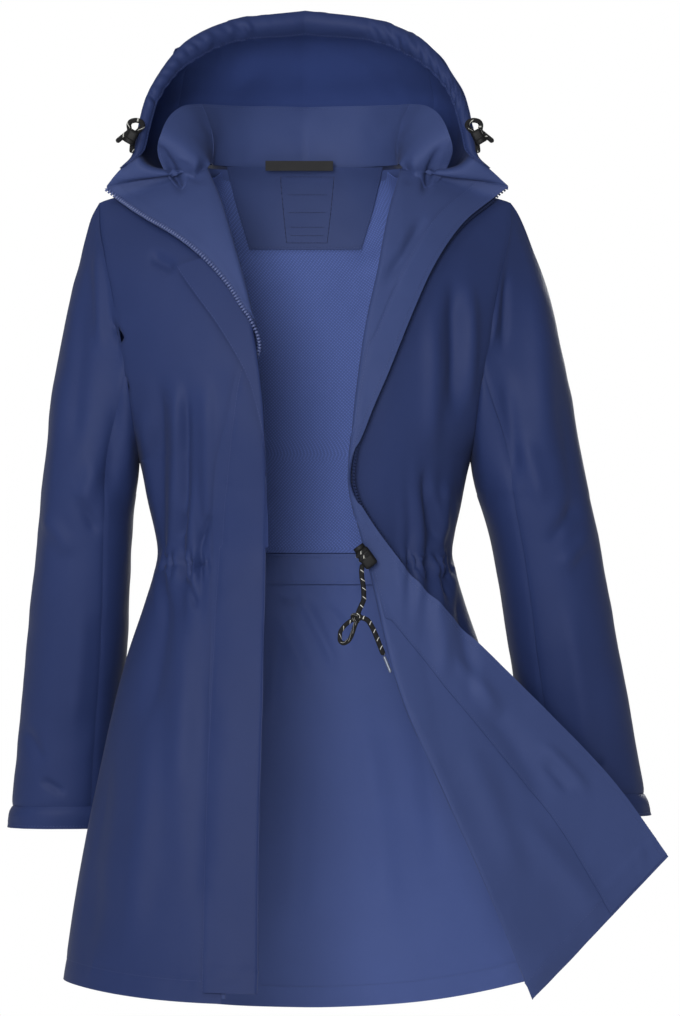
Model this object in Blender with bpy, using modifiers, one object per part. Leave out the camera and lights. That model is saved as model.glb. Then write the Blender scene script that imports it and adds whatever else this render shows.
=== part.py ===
"""Hooded raincoat, worn open: every cut piece of cloth as its own thin wall.

Metres, +Z up, front at -Y. The origin is at the back of the neck, where the wearer carries it.
"""
import math
from collections import namedtuple

import bmesh
import bpy
import numpy as np

COLLECTION = "hooded_raincoat"

# Cloth and seams
SHELL = 0.0012            # wall of the shell cloth
THIN = 0.0010             # wall of flaps, facings, tapes and linings
SEAM_GAP = 0.00025        # half of the gap at a seam
LAYER_GAP = 0.0022        # air between a panel and what is sewn on it
LINING_GAP = 0.0035       # the lining hangs this far inside the back
ON_FOLD = 1e-6            # beyond this past the fold a point is on the turned-back part
ROLL = 0.006              # radius of the turned-back front edge

# Coat sizes
NECK_HALF = 0.097         # side of the neck
UNDERARM = -0.292         # level of the armhole's lowest point
WAIST = -0.397            # level of the drawcord
CUFF_TOP = {"right": -0.641, "left": -0.628}
CUFF_HEIGHT = 0.023
STORM_FLAP_REACH = 0.042  # storm flap beyond the zip
STORM_FLAP_SEAM = 0.018   # storm flap's seam, back from the zip
ZIP_TAPE = 0.012          # zip tape behind the front's edge
ZIP_TEETH = 0.004         # and beyond it
COLLAR_PANEL = 0.62       # where the collar's side seams lie, front end 0 to centre back 1
HOOD_PANEL = 0.66         # where the hood's side seams lie
CORD = 0.0050             # waist drawcord
HOOD_CORD = 0.0036

SIDES = {"right": -1.0, "left": 1.0}

# The body's level sections. slope tips a row down the shoulder, rise lifts it at the side.
BodyRow = namedtuple("BodyRow", "level slope half_width front back middle neck_bump rise drop")
BODY = [
    BodyRow(-0.002, 0.32, 0.222, 0.0002, 0.0002, 0.004, 0.068, 0.0, 0.0),
    BodyRow(-0.022, 0.32, 0.222, 0.032, 0.036, 0.004, 0.042, 0.0, 0.0),
    BodyRow(-0.050, 0.30, 0.222, 0.062, 0.060, 0.003, 0.024, 0.0, 0.0),
    BodyRow(-0.095, 0.24, 0.219, 0.094, 0.078, 0.002, 0.010, 0.0, 0.0),
    BodyRow(-0.150, 0.14, 0.212, 0.114, 0.090, 0.000, 0.003, 0.0, 0.0),
    BodyRow(-0.210, 0.05, 0.201, 0.124, 0.096, -0.002, 0.0, 0.0, 0.0),
    BodyRow(-0.255, 0.01, 0.184, 0.123, 0.097, -0.004, 0.0, 0.0, 0.0),
    BodyRow(-0.292, 0.0, 0.1655, 0.119, 0.096, -0.005, 0.0, 0.0, 0.0),
    BodyRow(-0.340, 0.0, 0.1550, 0.110, 0.092, -0.006, 0.0, 0.0, 0.0),
    BodyRow(-0.386, 0.0, 0.1465, 0.103, 0.090, -0.007, 0.0, 0.0, 0.0),
    BodyRow(-0.400, 0.0, 0.1485, 0.103, 0.090, -0.008, 0.0, 0.0, 0.0),
    BodyRow(-0.433, 0.0, 0.1580, 0.108, 0.097, -0.010, 0.0, 0.0, 0.0),
    BodyRow(-0.497, 0.0, 0.1790, 0.120, 0.110, -0.014, 0.0, 0.0, 0.0),
    BodyRow(-0.580, 0.0, 0.1990, 0.132, 0.123, -0.018, 0.0, 0.0, 0.0),
    BodyRow(-0.664, 0.0, 0.2160, 0.143, 0.138, -0.020, 0.0, 0.003, 0.003),
    BodyRow(-0.750, 0.0, 0.2300, 0.152, 0.150, -0.020, 0.0, 0.010, 0.011),
    BodyRow(-0.828, 0.0, 0.2400, 0.160, 0.160, -0.020, 0.0, 0.017, 0.022),
]
FRONT_FULLNESS = 2.3      # squareness of the front half of a section
BACK_FULLNESS = 2.05      # and of the back half

ArmholeRow = namedtuple("ArmholeRow", "height front_x back_x")
ARMHOLE = [
    ArmholeRow(-0.036, 0.2060, 0.2060),
    ArmholeRow(-0.061, 0.2050, 0.2020),
    ArmholeRow(-0.089, 0.2000, 0.1950),
    ArmholeRow(-0.124, 0.1925, 0.1880),
    ArmholeRow(-0.178, 0.1825, 0.1810),
    ArmholeRow(-0.227, 0.1750, 0.1750),
    ArmholeRow(-0.270, 0.1690, 0.1690),
    ArmholeRow(-0.292, 0.1654, 0.1654),
]

# How each front edge is turned back. roll is the fold, edge is the zip edge beyond it, and width
# is the cloth between them; below zero the edge stops short of the fold. depth places an edge
# that has left the body, and None lays it on the body.
FoldRow = namedtuple("FoldRow", "roll_x roll_z edge_x edge_z width depth")
FOLD_RIGHT = [
    FoldRow(0.0965, -0.003, 0.198, -0.021, 0.104, None),
    FoldRow(0.083, -0.035, 0.163, -0.047, 0.083, None),
    FoldRow(0.073, -0.068, 0.126, -0.070, 0.055, None),
    FoldRow(0.063, -0.101, 0.094, -0.097, 0.033, None),
    FoldRow(0.054, -0.135, 0.069, -0.128, 0.018, None),
    FoldRow(0.047, -0.169, 0.050, -0.167, 0.003, None),
    FoldRow(0.040, -0.217, 0.040, -0.217, -0.022, None),
    FoldRow(0.036, -0.267, 0.036, -0.267, -0.032, None),
    FoldRow(0.035, -0.321, 0.035, -0.321, -0.040, None),
    FoldRow(0.035, -0.383, 0.035, -0.383, -0.042, None),
    FoldRow(0.037, -0.500, 0.037, -0.500, -0.042, None),
    FoldRow(0.040, -0.614, 0.040, -0.614, -0.042, None),
    FoldRow(0.042, -0.722, 0.042, -0.722, -0.042, None),
    FoldRow(0.043, -0.828, 0.043, -0.828, -0.042, None),
]
FOLD_LEFT = [
    FoldRow(0.0955, -0.003, 0.203, -0.021, 0.112, None),
    FoldRow(0.082, -0.053, 0.159, -0.057, 0.080, None),
    FoldRow(0.072, -0.105, 0.128, -0.102, 0.058, None),
    FoldRow(0.061, -0.156, 0.105, -0.153, 0.046, None),
    FoldRow(0.053, -0.207, 0.084, -0.205, 0.033, None),
    FoldRow(0.047, -0.260, 0.062, -0.258, 0.017, None),
    FoldRow(0.044, -0.312, 0.046, -0.311, 0.004, None),
    FoldRow(0.066, -0.414, 0.099, -0.400, 0.038, -0.112),
    FoldRow(0.092, -0.520, 0.167, -0.471, 0.090, -0.100),
    FoldRow(0.136, -0.621, 0.235, -0.538, 0.130, -0.086),
    FoldRow(0.181, -0.721, 0.302, -0.608, 0.166, -0.072),
    FoldRow(0.225, -0.828, 0.361, -0.688, 0.189, -0.058),
]
FOLDS = {"right": FOLD_RIGHT, "left": FOLD_LEFT}

# The storm flap's free edge where it is turned back with the right front
FlapRow = namedtuple("FlapRow", "fold_row edge_x edge_z")
STORM_FLAP = [FlapRow(2.5, 0.1290, -0.103), FlapRow(3.0, 0.1230, -0.113),
              FlapRow(4.0, 0.1060, -0.137), FlapRow(5.0, 0.0850, -0.166),
              FlapRow(6.0, 0.0600, -0.214), FlapRow(7.0, 0.0460, -0.267),
              FlapRow(8.0, 0.0370, -0.321), FlapRow(9.0, 0.0350, -0.383)]

# Width of the left front's facing, from its edge, at fold rows
FacingRow = namedtuple("FacingRow", "fold_row width")
FACING = [FacingRow(0.0, 0.034), FacingRow(3.0, 0.031), FacingRow(6.0, 0.038),
          FacingRow(7.0, 0.044), FacingRow(9.0, 0.062), FacingRow(11.0, 0.079)]

# Sleeve sections: outer and inner side, middle and half depth front to back
SleeveRow = namedtuple("SleeveRow", "height outer inner middle half_depth")
SLEEVE = {
    "right": [
        SleeveRow(-0.030, 0.209, 0.150, 0.002, 0.046),
        SleeveRow(-0.052, 0.2195, 0.154, 0.002, 0.052),
        SleeveRow(-0.094, 0.2275, 0.157, 0.001, 0.058),
        SleeveRow(-0.191, 0.2450, 0.161, -0.001, 0.063),
        SleeveRow(-0.234, 0.2530, 0.1635, -0.002, 0.064),
        SleeveRow(-0.300, 0.2600, 0.1695, -0.002, 0.064),
        SleeveRow(-0.400, 0.2700, 0.1750, 0.012, 0.060),
        SleeveRow(-0.500, 0.2810, 0.1815, 0.034, 0.055),
        SleeveRow(-0.600, 0.2910, 0.1925, 0.056, 0.049),
        SleeveRow(-0.664, 0.2960, 0.1990, 0.066, 0.046),
    ],
    "left": [
        SleeveRow(-0.030, 0.2120, 0.150, 0.002, 0.046),
        SleeveRow(-0.048, 0.2240, 0.154, 0.002, 0.052),
        SleeveRow(-0.094, 0.2370, 0.157, 0.001, 0.058),
        SleeveRow(-0.174, 0.2540, 0.161, -0.001, 0.062),
        SleeveRow(-0.300, 0.2790, 0.1700, -0.002, 0.064),
        SleeveRow(-0.390, 0.2960, 0.1890, 0.008, 0.061),
        SleeveRow(-0.516, 0.3200, 0.2110, 0.026, 0.056),
        SleeveRow(-0.600, 0.3345, 0.2270, 0.038, 0.050),
        SleeveRow(-0.652, 0.3440, 0.2370, 0.044, 0.047),
    ],
}
SLEEVE_FULLNESS = 2.2
CUFF_FLARE = 0.0035
# Where a sleeve meridian leaves the armhole: 0 is the shoulder, 180 the underarm
ArmholeStart = namedtuple("ArmholeStart", "turn height")
ARMHOLE_START = [ArmholeStart(0, -0.0365), ArmholeStart(25, -0.052), ArmholeStart(50, -0.085),
                 ArmholeStart(75, -0.130), ArmholeStart(107, -0.202), ArmholeStart(140, -0.256),
                 ArmholeStart(165, -0.284), ArmholeStart(180, -0.2915)]
SEAM_TURN_TOP, SEAM_TURN_CUFF = 107.0, 126.0   # the sleeve's two seams

# Hood from the neck seam (low) to its rim; one half, front corner 0 to centre back 1
HoodRow = namedtuple("HoodRow", "place neck low high rim")
HOOD = [
    HoodRow(0.06, (0.100, -0.001, 0.002), (0.122, -0.026, -0.012), (0.158, -0.030, -0.018),
            (0.188, -0.014, -0.006)),
    HoodRow(0.14, (0.100, 0.003, 0.003), (0.124, -0.012, -0.006), (0.160, -0.020, -0.010),
            (0.172, -0.018, 0.010)),
    HoodRow(0.24, (0.099, 0.010, 0.003), (0.128, 0.016, -0.012), (0.172, 0.010, -0.006),
            (0.167, -0.014, 0.034)),
    HoodRow(0.36, (0.098, 0.020, 0.003), (0.130, 0.045, -0.030), (0.180, 0.060, -0.002),
            (0.160, -0.004, 0.064)),
    HoodRow(0.50, (0.092, 0.038, 0.003), (0.125, 0.085, -0.050), (0.185, 0.130, 0.020),
            (0.145, 0.008, 0.094)),
    HoodRow(0.64, (0.076, 0.056, 0.002), (0.105, 0.112, -0.068), (0.165, 0.210, 0.035),
            (0.116, 0.024, 0.128)),
    HoodRow(0.80, (0.046, 0.070, 0.001), (0.062, 0.128, -0.082), (0.100, 0.275, 0.045),
            (0.068, 0.042, 0.149)),
    HoodRow(1.00, (0.000, 0.078, 0.000), (0.000, 0.132, -0.088), (0.000, 0.300, 0.050),
            (0.000, 0.052, 0.158)),
]
BrimRow = namedtuple("BrimRow", "place width")
BRIM = [BrimRow(0.0, 0.010), BrimRow(0.14, 0.011), BrimRow(0.36, 0.012), BrimRow(0.5, 0.014),
        BrimRow(0.64, 0.022), BrimRow(0.8, 0.023), BrimRow(1.0, 0.023)]

# Stand collar inside the hood, front end 0 to centre back 1
CollarRow = namedtuple("CollarRow", "place base top")
COLLAR = [
    CollarRow(0.00, (0.1240, -0.0480, -0.0270), (0.1265, -0.0490, -0.0250)),
    CollarRow(0.10, (0.1150, -0.0400, -0.0200), (0.1400, -0.0420, -0.0060)),
    CollarRow(0.22, (0.1060, -0.0290, -0.0110), (0.1475, -0.0340, 0.0150)),
    CollarRow(0.34, (0.0985, -0.0160, -0.0030), (0.1430, -0.0230, 0.0330)),
    CollarRow(0.46, (0.0945, -0.0020, 0.0020), (0.1350, -0.0060, 0.0500)),
    CollarRow(0.56, (0.0935, 0.0140, 0.0030), (0.1180, 0.0180, 0.0620)),
    CollarRow(0.66, (0.0930, 0.0300, 0.0025), (0.0960, 0.0480, 0.0640)),
    CollarRow(0.82, (0.0580, 0.0610, 0.0015), (0.0560, 0.0800, 0.0640)),
    CollarRow(1.00, (0.0000, 0.0750, 0.0005), (0.0000, 0.0920, 0.0635)),
]

# Waist cord's own points: the drop from its lock, the loop and the tail beyond the knot
WAIST_LOCK = (0.0610, -0.1260, -0.391)
WAIST_DROP = [(0.0562, -0.1262, -0.4045), (0.0565, -0.1262, -0.410), (0.0580, -0.1265, -0.420),
              (0.0585, -0.1270, -0.430), (0.0560, -0.1275, -0.438), (0.0535, -0.1278, -0.4435)]
WAIST_KNOT = (0.0510, -0.1280, -0.4500)
WAIST_LOOP = [(0.0465, -0.1290, -0.4530), (0.0405, -0.1295, -0.4585), (0.0345, -0.1300, -0.4665),
              (0.0330, -0.1305, -0.4750), (0.0375, -0.1310, -0.4790), (0.0430, -0.1310, -0.4740),
              (0.0455, -0.1300, -0.4660), (0.0490, -0.1290, -0.4580)]
WAIST_TAIL = [(0.0560, -0.1285, -0.4505), (0.0615, -0.1290, -0.4520), (0.0665, -0.1300, -0.4590),
              (0.0705, -0.1305, -0.4680), (0.0745, -0.1310, -0.4780), (0.0780, -0.1315, -0.4870)]
TIP_END = (0.0850, -0.1325, -0.5040)

# Hood cord: one tail, the ring through the rim's eyelet, and the other tail, held by its lock.
# The other side is its mirror image.
HOOD_LOCK = (0.1735, -0.0330, 0.0290)
HOOD_LOCK_SIZE = (0.0095, 0.0080, 0.0155)
HOOD_LOCK_TILT = math.radians(30.0)
HOOD_CORD_ROUTE = [
    (0.1888, -0.0270, 0.0222), (0.1835, -0.0265, 0.0272), (0.1790, -0.0257, 0.0318),
    (0.1762, -0.0252, 0.0365), (0.1764, -0.0255, 0.0425), (0.1735, -0.0258, 0.0470),
    (0.1680, -0.0258, 0.0484), (0.1622, -0.0256, 0.0464), (0.1598, -0.0254, 0.0415),
    (0.1622, -0.0253, 0.0368), (0.1664, -0.0252, 0.0325), (0.1698, -0.0252, 0.0270),
    (0.1716, -0.0253, 0.0215), (0.1723, -0.0255, 0.0160), (0.1727, -0.0258, 0.0112),
]

COLOURS = {
    "shell_cloth": ((0.035, 0.050, 0.150), 0.62, 0.0),
    "inner_cloth": ((0.065, 0.085, 0.200), 0.60, 0.0),
    "mesh_cloth": ((0.060, 0.078, 0.185), 0.80, 0.0),
    "zip_tape": ((0.040, 0.055, 0.160), 0.70, 0.0),
    "black_tape": ((0.010, 0.010, 0.012), 0.75, 0.0),
    "black_plastic": ((0.012, 0.012, 0.014), 0.45, 0.0),
    "cord": ((0.015, 0.015, 0.018), 0.80, 0.0),
}


# ---------------------------------------------------------------- curves through the tables
def smooth(stations, values):
    """A smooth function through a table's column that never overshoots between rows."""
    s = np.asarray(stations, float)
    v = np.asarray(values, float)
    if s[0] > s[-1]:
        s, v = s[::-1], v[::-1]
    step = np.diff(s)
    slope = np.diff(v) / step
    tangent = np.zeros_like(v)
    tangent[0], tangent[-1] = slope[0], slope[-1]
    for i in range(1, len(s) - 1):
        before, after = slope[i - 1], slope[i]
        if before * after > 0.0:
            w1 = 2.0 * step[i] + step[i - 1]
            w2 = step[i] + 2.0 * step[i - 1]
            tangent[i] = (w1 + w2) / (w1 / before + w2 / after)

    def at(x):
        x = np.clip(np.asarray(x, float), s[0], s[-1])
        i = np.clip(np.searchsorted(s, x) - 1, 0, len(s) - 2)
        h = step[i]
        t = (x - s[i]) / h
        rest = 1.0 - t
        start = (1.0 + 2.0 * t) * rest * rest * v[i] + t * rest * rest * h * tangent[i]
        end = t * t * (3.0 - 2.0 * t) * v[i + 1] + t * t * (t - 1.0) * h * tangent[i + 1]
        return start + end
    return at


def column(table, key, name):
    """The smooth function of one named column of a table, over another."""
    return smooth([getattr(row, key) for row in table], [getattr(row, name) for row in table])


def place_column(table, name):
    """The smooth point function of a column that holds points, over place."""
    axes = [smooth([row.place for row in table], [getattr(row, name)[i] for row in table])
            for i in range(3)]
    return lambda u: np.stack([axis(u) for axis in axes], axis=-1)


def spread(low, high, count):
    return np.linspace(low, high, count)


def ease(x):
    x = np.clip(x, 0.0, 1.0)
    return x * x * (3.0 - 2.0 * x)


# ---------------------------------------------------------------- the body under the panels
LEVEL = {name: column(BODY, "level", name) for name in BodyRow._fields[1:]}
ARM_FRONT = column(ARMHOLE, "height", "front_x")
ARM_BACK = column(ARMHOLE, "height", "back_x")


def waist_folds(x, level):
    """The largest gathers at the drawcord, as an outward push."""
    near = np.exp(-((level - WAIST) / 0.060) ** 2)
    side = ease((np.abs(x) - 0.07) / 0.04) * ease((0.150 - np.abs(x)) / 0.02)
    return 0.0028 * near * side * np.cos((np.abs(x) - 0.11) / 0.0075)


def body_point(level, turn, back=False):
    """Point of the right-hand half (x > 0) at a turn of 0 (centre) to 90 degrees (side)."""
    fullness = BACK_FULLNESS if back else FRONT_FULLNESS
    angle = np.radians(turn)
    width = LEVEL["half_width"](level)
    across = np.clip(np.sin(angle), 0.0, 1.0) ** (2.0 / fullness)
    ahead = np.clip(np.cos(angle), 0.0, 1.0) ** (2.0 / fullness)
    x = width * across
    z = level - LEVEL["slope"](level) * np.maximum(x - NECK_HALF, 0.0)
    z = z + LEVEL["rise"](level) * across ** 3
    if back:
        inside_neck = np.clip(1.0 - (x / NECK_HALF) ** 2, 0.0, 1.0)
        y = LEVEL["middle"](level) + LEVEL["back"](level) * ahead + waist_folds(x, level)
        y = y + LEVEL["neck_bump"](level) * inside_neck ** 0.5
        z = z - LEVEL["drop"](level) * (1.0 - across ** 2)
    else:
        y = LEVEL["middle"](level) - LEVEL["front"](level) * ahead - waist_folds(x, level)
    return np.stack([x, y, z], axis=-1)


def level_at(x, z):
    """The level of the body row that passes a point seen from the front."""
    level = np.asarray(z, float) + 0.0 * np.asarray(x, float)
    for _ in range(8):
        drop = LEVEL["slope"](level) * np.maximum(x - NECK_HALF, 0.0)
        rise = LEVEL["rise"](level) * np.clip(x / LEVEL["half_width"](level), 0.0, 1.0) ** 3
        level = z + drop - rise
    return np.clip(level, BODY[-1].level, BODY[0].level)


def turn_at(x, level, back=False):
    fullness = BACK_FULLNESS if back else FRONT_FULLNESS
    share = np.clip(x / LEVEL["half_width"](level), 0.0, 1.0)
    return np.degrees(np.arcsin(share ** (fullness / 2.0)))


def front_depth(x, z):
    """How far forward (y) the body's front lies at a point seen from the front."""
    level = level_at(x, z)
    return body_point(level, turn_at(x, level))[..., 1]


def side_turn(level, back=False):
    """The turn at which a row ends: the armhole, or the side seam below it."""
    armhole = ARM_BACK if back else ARM_FRONT
    x = 0.18
    for _ in range(6):
        z = level - LEVEL["slope"](level) * np.maximum(x - NECK_HALF, 0.0)
        x = armhole(z)
    turn = turn_at(x, level, back)
    return np.where(level <= UNDERARM + 0.0005, 90.0, turn)


# ---------------------------------------------------------------- the fronts and their folds
FOLD_COLUMN = {
    side: {name: smooth(range(len(rows)), [getattr(row, name) for row in rows])
           for name in ("roll_x", "roll_z", "edge_x", "edge_z", "width")}
    for side, rows in FOLDS.items()
}
FACING_WIDTH = smooth([row.fold_row for row in FACING], [row.width for row in FACING])
FLAP_START = 6            # the left front's fold leaves the body below this row
FLAP_DEPTH = smooth(range(FLAP_START, len(FOLD_LEFT)),
                    [-0.128] + [row.depth for row in FOLD_LEFT[FLAP_START + 1:]])


def turned_out(side, row, g, layer=0.0):
    """Point of the turned-back cloth, g metres beyond the fold; layer moves it off its face."""
    fold = FOLD_COLUMN[side]
    start_x, start_z = fold["roll_x"](row), fold["roll_z"](row)
    end_x, end_z = fold["edge_x"](row), fold["edge_z"](row)
    width = np.maximum(fold["width"](row), 0.002)
    reach = np.hypot(end_x - start_x, end_z - start_z)
    far = reach > 0.003
    along_x = np.where(far, (end_x - start_x) / np.maximum(reach, 0.003), 1.0)
    along_z = np.where(far, (end_z - start_z) / np.maximum(reach, 0.003), 0.0)
    travel = np.where(far, g * reach / width, g)
    turn = np.clip(g / ROLL, 0.0, math.pi / 2.0)
    inset = ROLL - (ROLL - layer) * np.cos(turn)
    travel = np.where(turn < math.pi / 2.0, inset, np.maximum(travel, ROLL))
    lift = ROLL + (ROLL - layer) * np.sin(turn)
    x = start_x + along_x * travel
    z = start_z + along_z * travel
    y = front_depth(x, z) - lift
    if side == "left":
        flap = ease((row - FLAP_START) / 0.8)
        root = front_depth(start_x, start_z) - lift
        share = np.clip(g / width, 0.0, 1.0)
        tip = FLAP_DEPTH(row) + layer
        straight = root + (tip - root) * share
        on_body = ease((LEVEL["half_width"](level_at(x, z)) - x) / 0.03)
        clear = np.minimum(straight, straight + (y - 0.001 - straight) * on_body)
        y = y * (1.0 - flap) + clear * flap
    return np.stack([x, y, z], axis=-1)


def front_row(side, row, distances, layer=0.0):
    """Points of one row of a front at flat distances from its zip edge, and the row's length."""
    fold = FOLD_COLUMN[side]
    width = float(fold["width"](row))
    roll_x, level = float(fold["roll_x"](row)), float(fold["roll_z"](row))
    if row == 0:
        level = BODY[0].level
    start = float(turn_at(roll_x, level))
    turns = np.linspace(start, float(side_turn(level)), 160)
    path = body_point(level, turns)
    length = np.concatenate([[0.0], np.cumsum(np.linalg.norm(np.diff(path, axis=0), axis=1))])
    normal = section_normals(path)
    g = width - np.asarray(distances, float)
    bend = np.clip(-g / ROLL, 0.0, math.pi / 2.0)
    inset = ROLL - (ROLL - layer) * np.cos(bend)
    travel = np.where(bend < math.pi / 2.0, inset, ROLL + np.maximum(-g, 0.0) - ROLL * math.pi / 2.0)
    on_body = np.stack([np.interp(travel, length, path[:, i]) for i in range(3)], axis=-1)
    outward = np.stack([np.interp(travel, length, normal[:, i]) for i in range(3)], axis=-1)
    lift = ROLL - (ROLL - layer) * np.sin(bend)
    body = on_body + outward * lift[:, None]
    folded = turned_out(side, np.full(len(g), float(row)), np.maximum(g, 0.0), layer)
    points = np.where((g > ON_FOLD)[:, None], folded, body)
    return points, width + length[-1] - ROLL + ROLL * math.pi / 2.0


def section_normals(path):
    """Outward normals of a level section, in its own plane."""
    run = np.gradient(path, axis=0)
    run[:, 2] = 0.0
    run /= np.maximum(np.linalg.norm(run, axis=1), 1e-9)[:, None]
    return np.stack([run[:, 1], -run[:, 0], 0.0 * run[:, 0]], axis=-1)


def mirror_to(side, points):
    """Sizes are given for x > 0; the wearer's right is x < 0."""
    out = np.array(points, float)
    out[..., 0] *= SIDES[side]
    return out


# ---------------------------------------------------------------- objects
def material(name):
    found = bpy.data.materials.get(name)
    if found:
        return found
    colour, roughness, metallic = COLOURS[name]
    made = bpy.data.materials.new(name)
    made.use_nodes = True
    shader = made.node_tree.nodes["Principled BSDF"]
    shader.inputs["Base Color"].default_value = (*colour, 1.0)
    shader.inputs["Roughness"].default_value = roughness
    shader.inputs["Metallic"].default_value = metallic
    return made


def add_object(name, mesh, finish, collection):
    piece = bpy.data.objects.new(name, mesh)
    mesh.materials.append(material(finish))
    collection.objects.link(piece)
    return piece


def cloth(name, points, wall, finish, collection, closed=False, outside_first=True):
    """A grid bent through rows of points, then given its wall on the outer side."""
    rows, cols = points.shape[:2]
    form = bmesh.new()
    bmesh.ops.create_grid(form, x_segments=cols - 1, y_segments=rows - 1, size=1.0)
    form.verts.ensure_lookup_table()
    order = sorted(form.verts, key=lambda v: (round(v.co.y * rows * 4), round(v.co.x * cols * 4)))
    for index, vert in enumerate(order):
        vert.co = points[index // cols, index % cols]
    if closed:
        bmesh.ops.remove_doubles(form, verts=form.verts, dist=1e-6)
    if not outside_first:
        bmesh.ops.reverse_faces(form, faces=form.faces)
    mesh = bpy.data.meshes.new(name)
    form.to_mesh(mesh)
    form.free()
    mesh.shade_smooth()
    piece = add_object(name, mesh, finish, collection)
    solid = piece.modifiers.new("wall", "SOLIDIFY")
    solid.thickness = wall
    solid.offset = 1.0
    solid.use_even_offset = False
    return piece


# ---------------------------------------------------------------- panels
PANEL_ROWS = {
    "right": np.concatenate([spread(0, 6, 13), [7, 8, 8.6, 9.2, 9.8, 10.4, 11, 12, 13]]),
    "left": np.concatenate([spread(0, 6, 9), [6.35, 6.7, 7.1, 7.5, 8, 8.5, 9, 9.5, 10, 10.5, 11]]),
}
ROLL_STOPS = (0.005, 0.010, 0.016)   # columns across the roll, beyond the turned-back part
REST_COLUMNS = 5                     # columns from there to the side seam
TAPE_SHARE = 0.45                    # most of a narrow turned-back part that the zip tape takes
SEAM_SHARE = 0.90                    # and the storm flap's seam
FACING_SHARE = 0.92                  # and the facing
TRIM = 0.06                          # share of a row by which strips stop short of neck and hem
FLAP_LIFT = 1.8                      # storm flap's height off the front, in layer gaps


def panel_stops(side, row, total):
    """Flat distances of a front's columns from its zip edge, with one at each strip's edge."""
    wide = float(FOLD_COLUMN[side]["width"](row))
    if side == "right":
        turned = max(wide - ROLL_STOPS[0], 0.012 + 0.010 * float(ease((row - 6.0) / 2.0)))
        sewn = [0.0, min(ZIP_TAPE, TAPE_SHARE * turned), min(STORM_FLAP_SEAM, SEAM_SHARE * turned)]
    else:
        turned = max(wide - ROLL_STOPS[0], 0.012)
        facing = min(float(FACING_WIDTH(row)), FACING_SHARE * turned)
        tape = min(ZIP_TAPE, TAPE_SHARE * facing)
        sewn = [0.0, tape, (tape + facing) / 2.0, facing]
    roll = turned + np.array(ROLL_STOPS)
    return np.concatenate([sewn, spread(sewn[-1], turned, 7 - len(sewn))[1:], roll,
                           spread(roll[-1], total, REST_COLUMNS + 1)[1:]])


def grid_normals(grid):
    """Unit normals of a grid of points, facing the way of its last column's outer side."""
    runs = []
    for axis in (0, 1):
        step = np.diff(grid, axis=axis)
        step /= np.maximum(np.linalg.norm(step, axis=-1), 1e-9)[..., None]
        lead = [(0, 0)] * 3
        lead[axis] = (1, 0)
        tail = [(0, 0)] * 3
        tail[axis] = (0, 1)
        runs.append(np.pad(step, lead, mode="edge") + np.pad(step, tail, mode="edge"))
    normal = np.cross(runs[1], runs[0])
    normal /= np.maximum(np.linalg.norm(normal, axis=-1), 1e-9)[..., None]
    return normal if normal[:, -1, 0].mean() > 0.0 else -normal


def panel_grid(side):
    grid = []
    for row in PANEL_ROWS[side]:
        _, total = front_row(side, row, [0.0])
        grid.append(front_row(side, row, panel_stops(side, row, total))[0])
    return np.array(grid)


def make_front(side, collection):
    """One front, zip edge to side, from the shoulder seam to the hem, its edge turned back."""
    grid = panel_grid(side)
    grid[:, -1, 1] -= SEAM_GAP
    shoulder = grid[0, :, 0] > FOLDS[side][0].roll_x
    shoulder[:7] = False
    grid[0, shoulder, 1] -= SEAM_GAP
    return cloth("front_" + side, mirror_to(side, grid), SHELL, "shell_cloth", collection,
                 outside_first=side == "right")


def sewn_on(name, side, last, layer, finish, collection, beyond=0.0):
    """A strip sewn along a front's edge, from the front's own points up to its column last."""
    panel = panel_grid(side)
    grid = (panel + grid_normals(panel) * layer)[:, :last + 1]
    grid[0] += (grid[1] - grid[0]) * TRIM
    grid[-1] += (grid[-2] - grid[-1]) * TRIM
    if beyond:
        along = grid[:, 0] - grid[:, 1]
        along /= np.linalg.norm(along, axis=-1)[:, None]
        grid = np.concatenate([(grid[:, 0] + along * beyond)[:, None], grid], axis=1)
    return cloth(name, mirror_to(side, grid), THIN, finish, collection,
                 outside_first=side == "right")


def storm_flap_row(row, stops, layer):
    """One row of the storm flap at flat distances from its free edge."""
    fold = FOLD_COLUMN["right"]
    width = float(fold["width"](row))
    g = width + STORM_FLAP_REACH - stops
    panel, _ = front_row("right", row, stops - STORM_FLAP_REACH, layer)
    start_x, start_z = float(fold["roll_x"](row)), float(fold["roll_z"](row))
    edge = np.array([float(column(STORM_FLAP, "fold_row", name)(row)) for name in ("edge_x", "edge_z")])
    along = edge - np.array([start_x, start_z])
    reach = float(np.hypot(*along))
    along = along / reach if reach > 0.001 else np.array([1.0, 0.0])
    turn = np.clip(g / ROLL, 0.0, math.pi / 2.0)
    far = ROLL + (g - ROLL * math.pi / 2.0) * reach / max(width + STORM_FLAP_REACH, 0.001)
    bend = ROLL - (ROLL - layer) * np.cos(turn)
    travel = np.where(turn < math.pi / 2.0, bend, np.maximum(far, ROLL))
    x = start_x + along[0] * travel
    z = start_z + along[1] * travel
    y = front_depth(x, z) - ROLL - (ROLL - layer) * np.sin(turn)
    folded = np.stack([x, y, z], axis=-1)
    return np.where((g > ON_FOLD)[:, None], folded, panel)


def make_storm_flap(collection):
    rows = PANEL_ROWS["right"]
    rows = rows[rows >= STORM_FLAP[0].fold_row]
    rows[-1] -= 0.1
    grid = []
    for row in rows:
        seam = STORM_FLAP_REACH + panel_stops("right", row, 1.0)[1:3]
        stops = np.concatenate([spread(0.0, STORM_FLAP_REACH, 7), seam])
        grid.append(storm_flap_row(row, stops, SHELL + FLAP_LIFT * LAYER_GAP))
    grid = mirror_to("right", np.array(grid))
    return cloth("storm_flap", grid, THIN, "shell_cloth", collection, outside_first=True)


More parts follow.
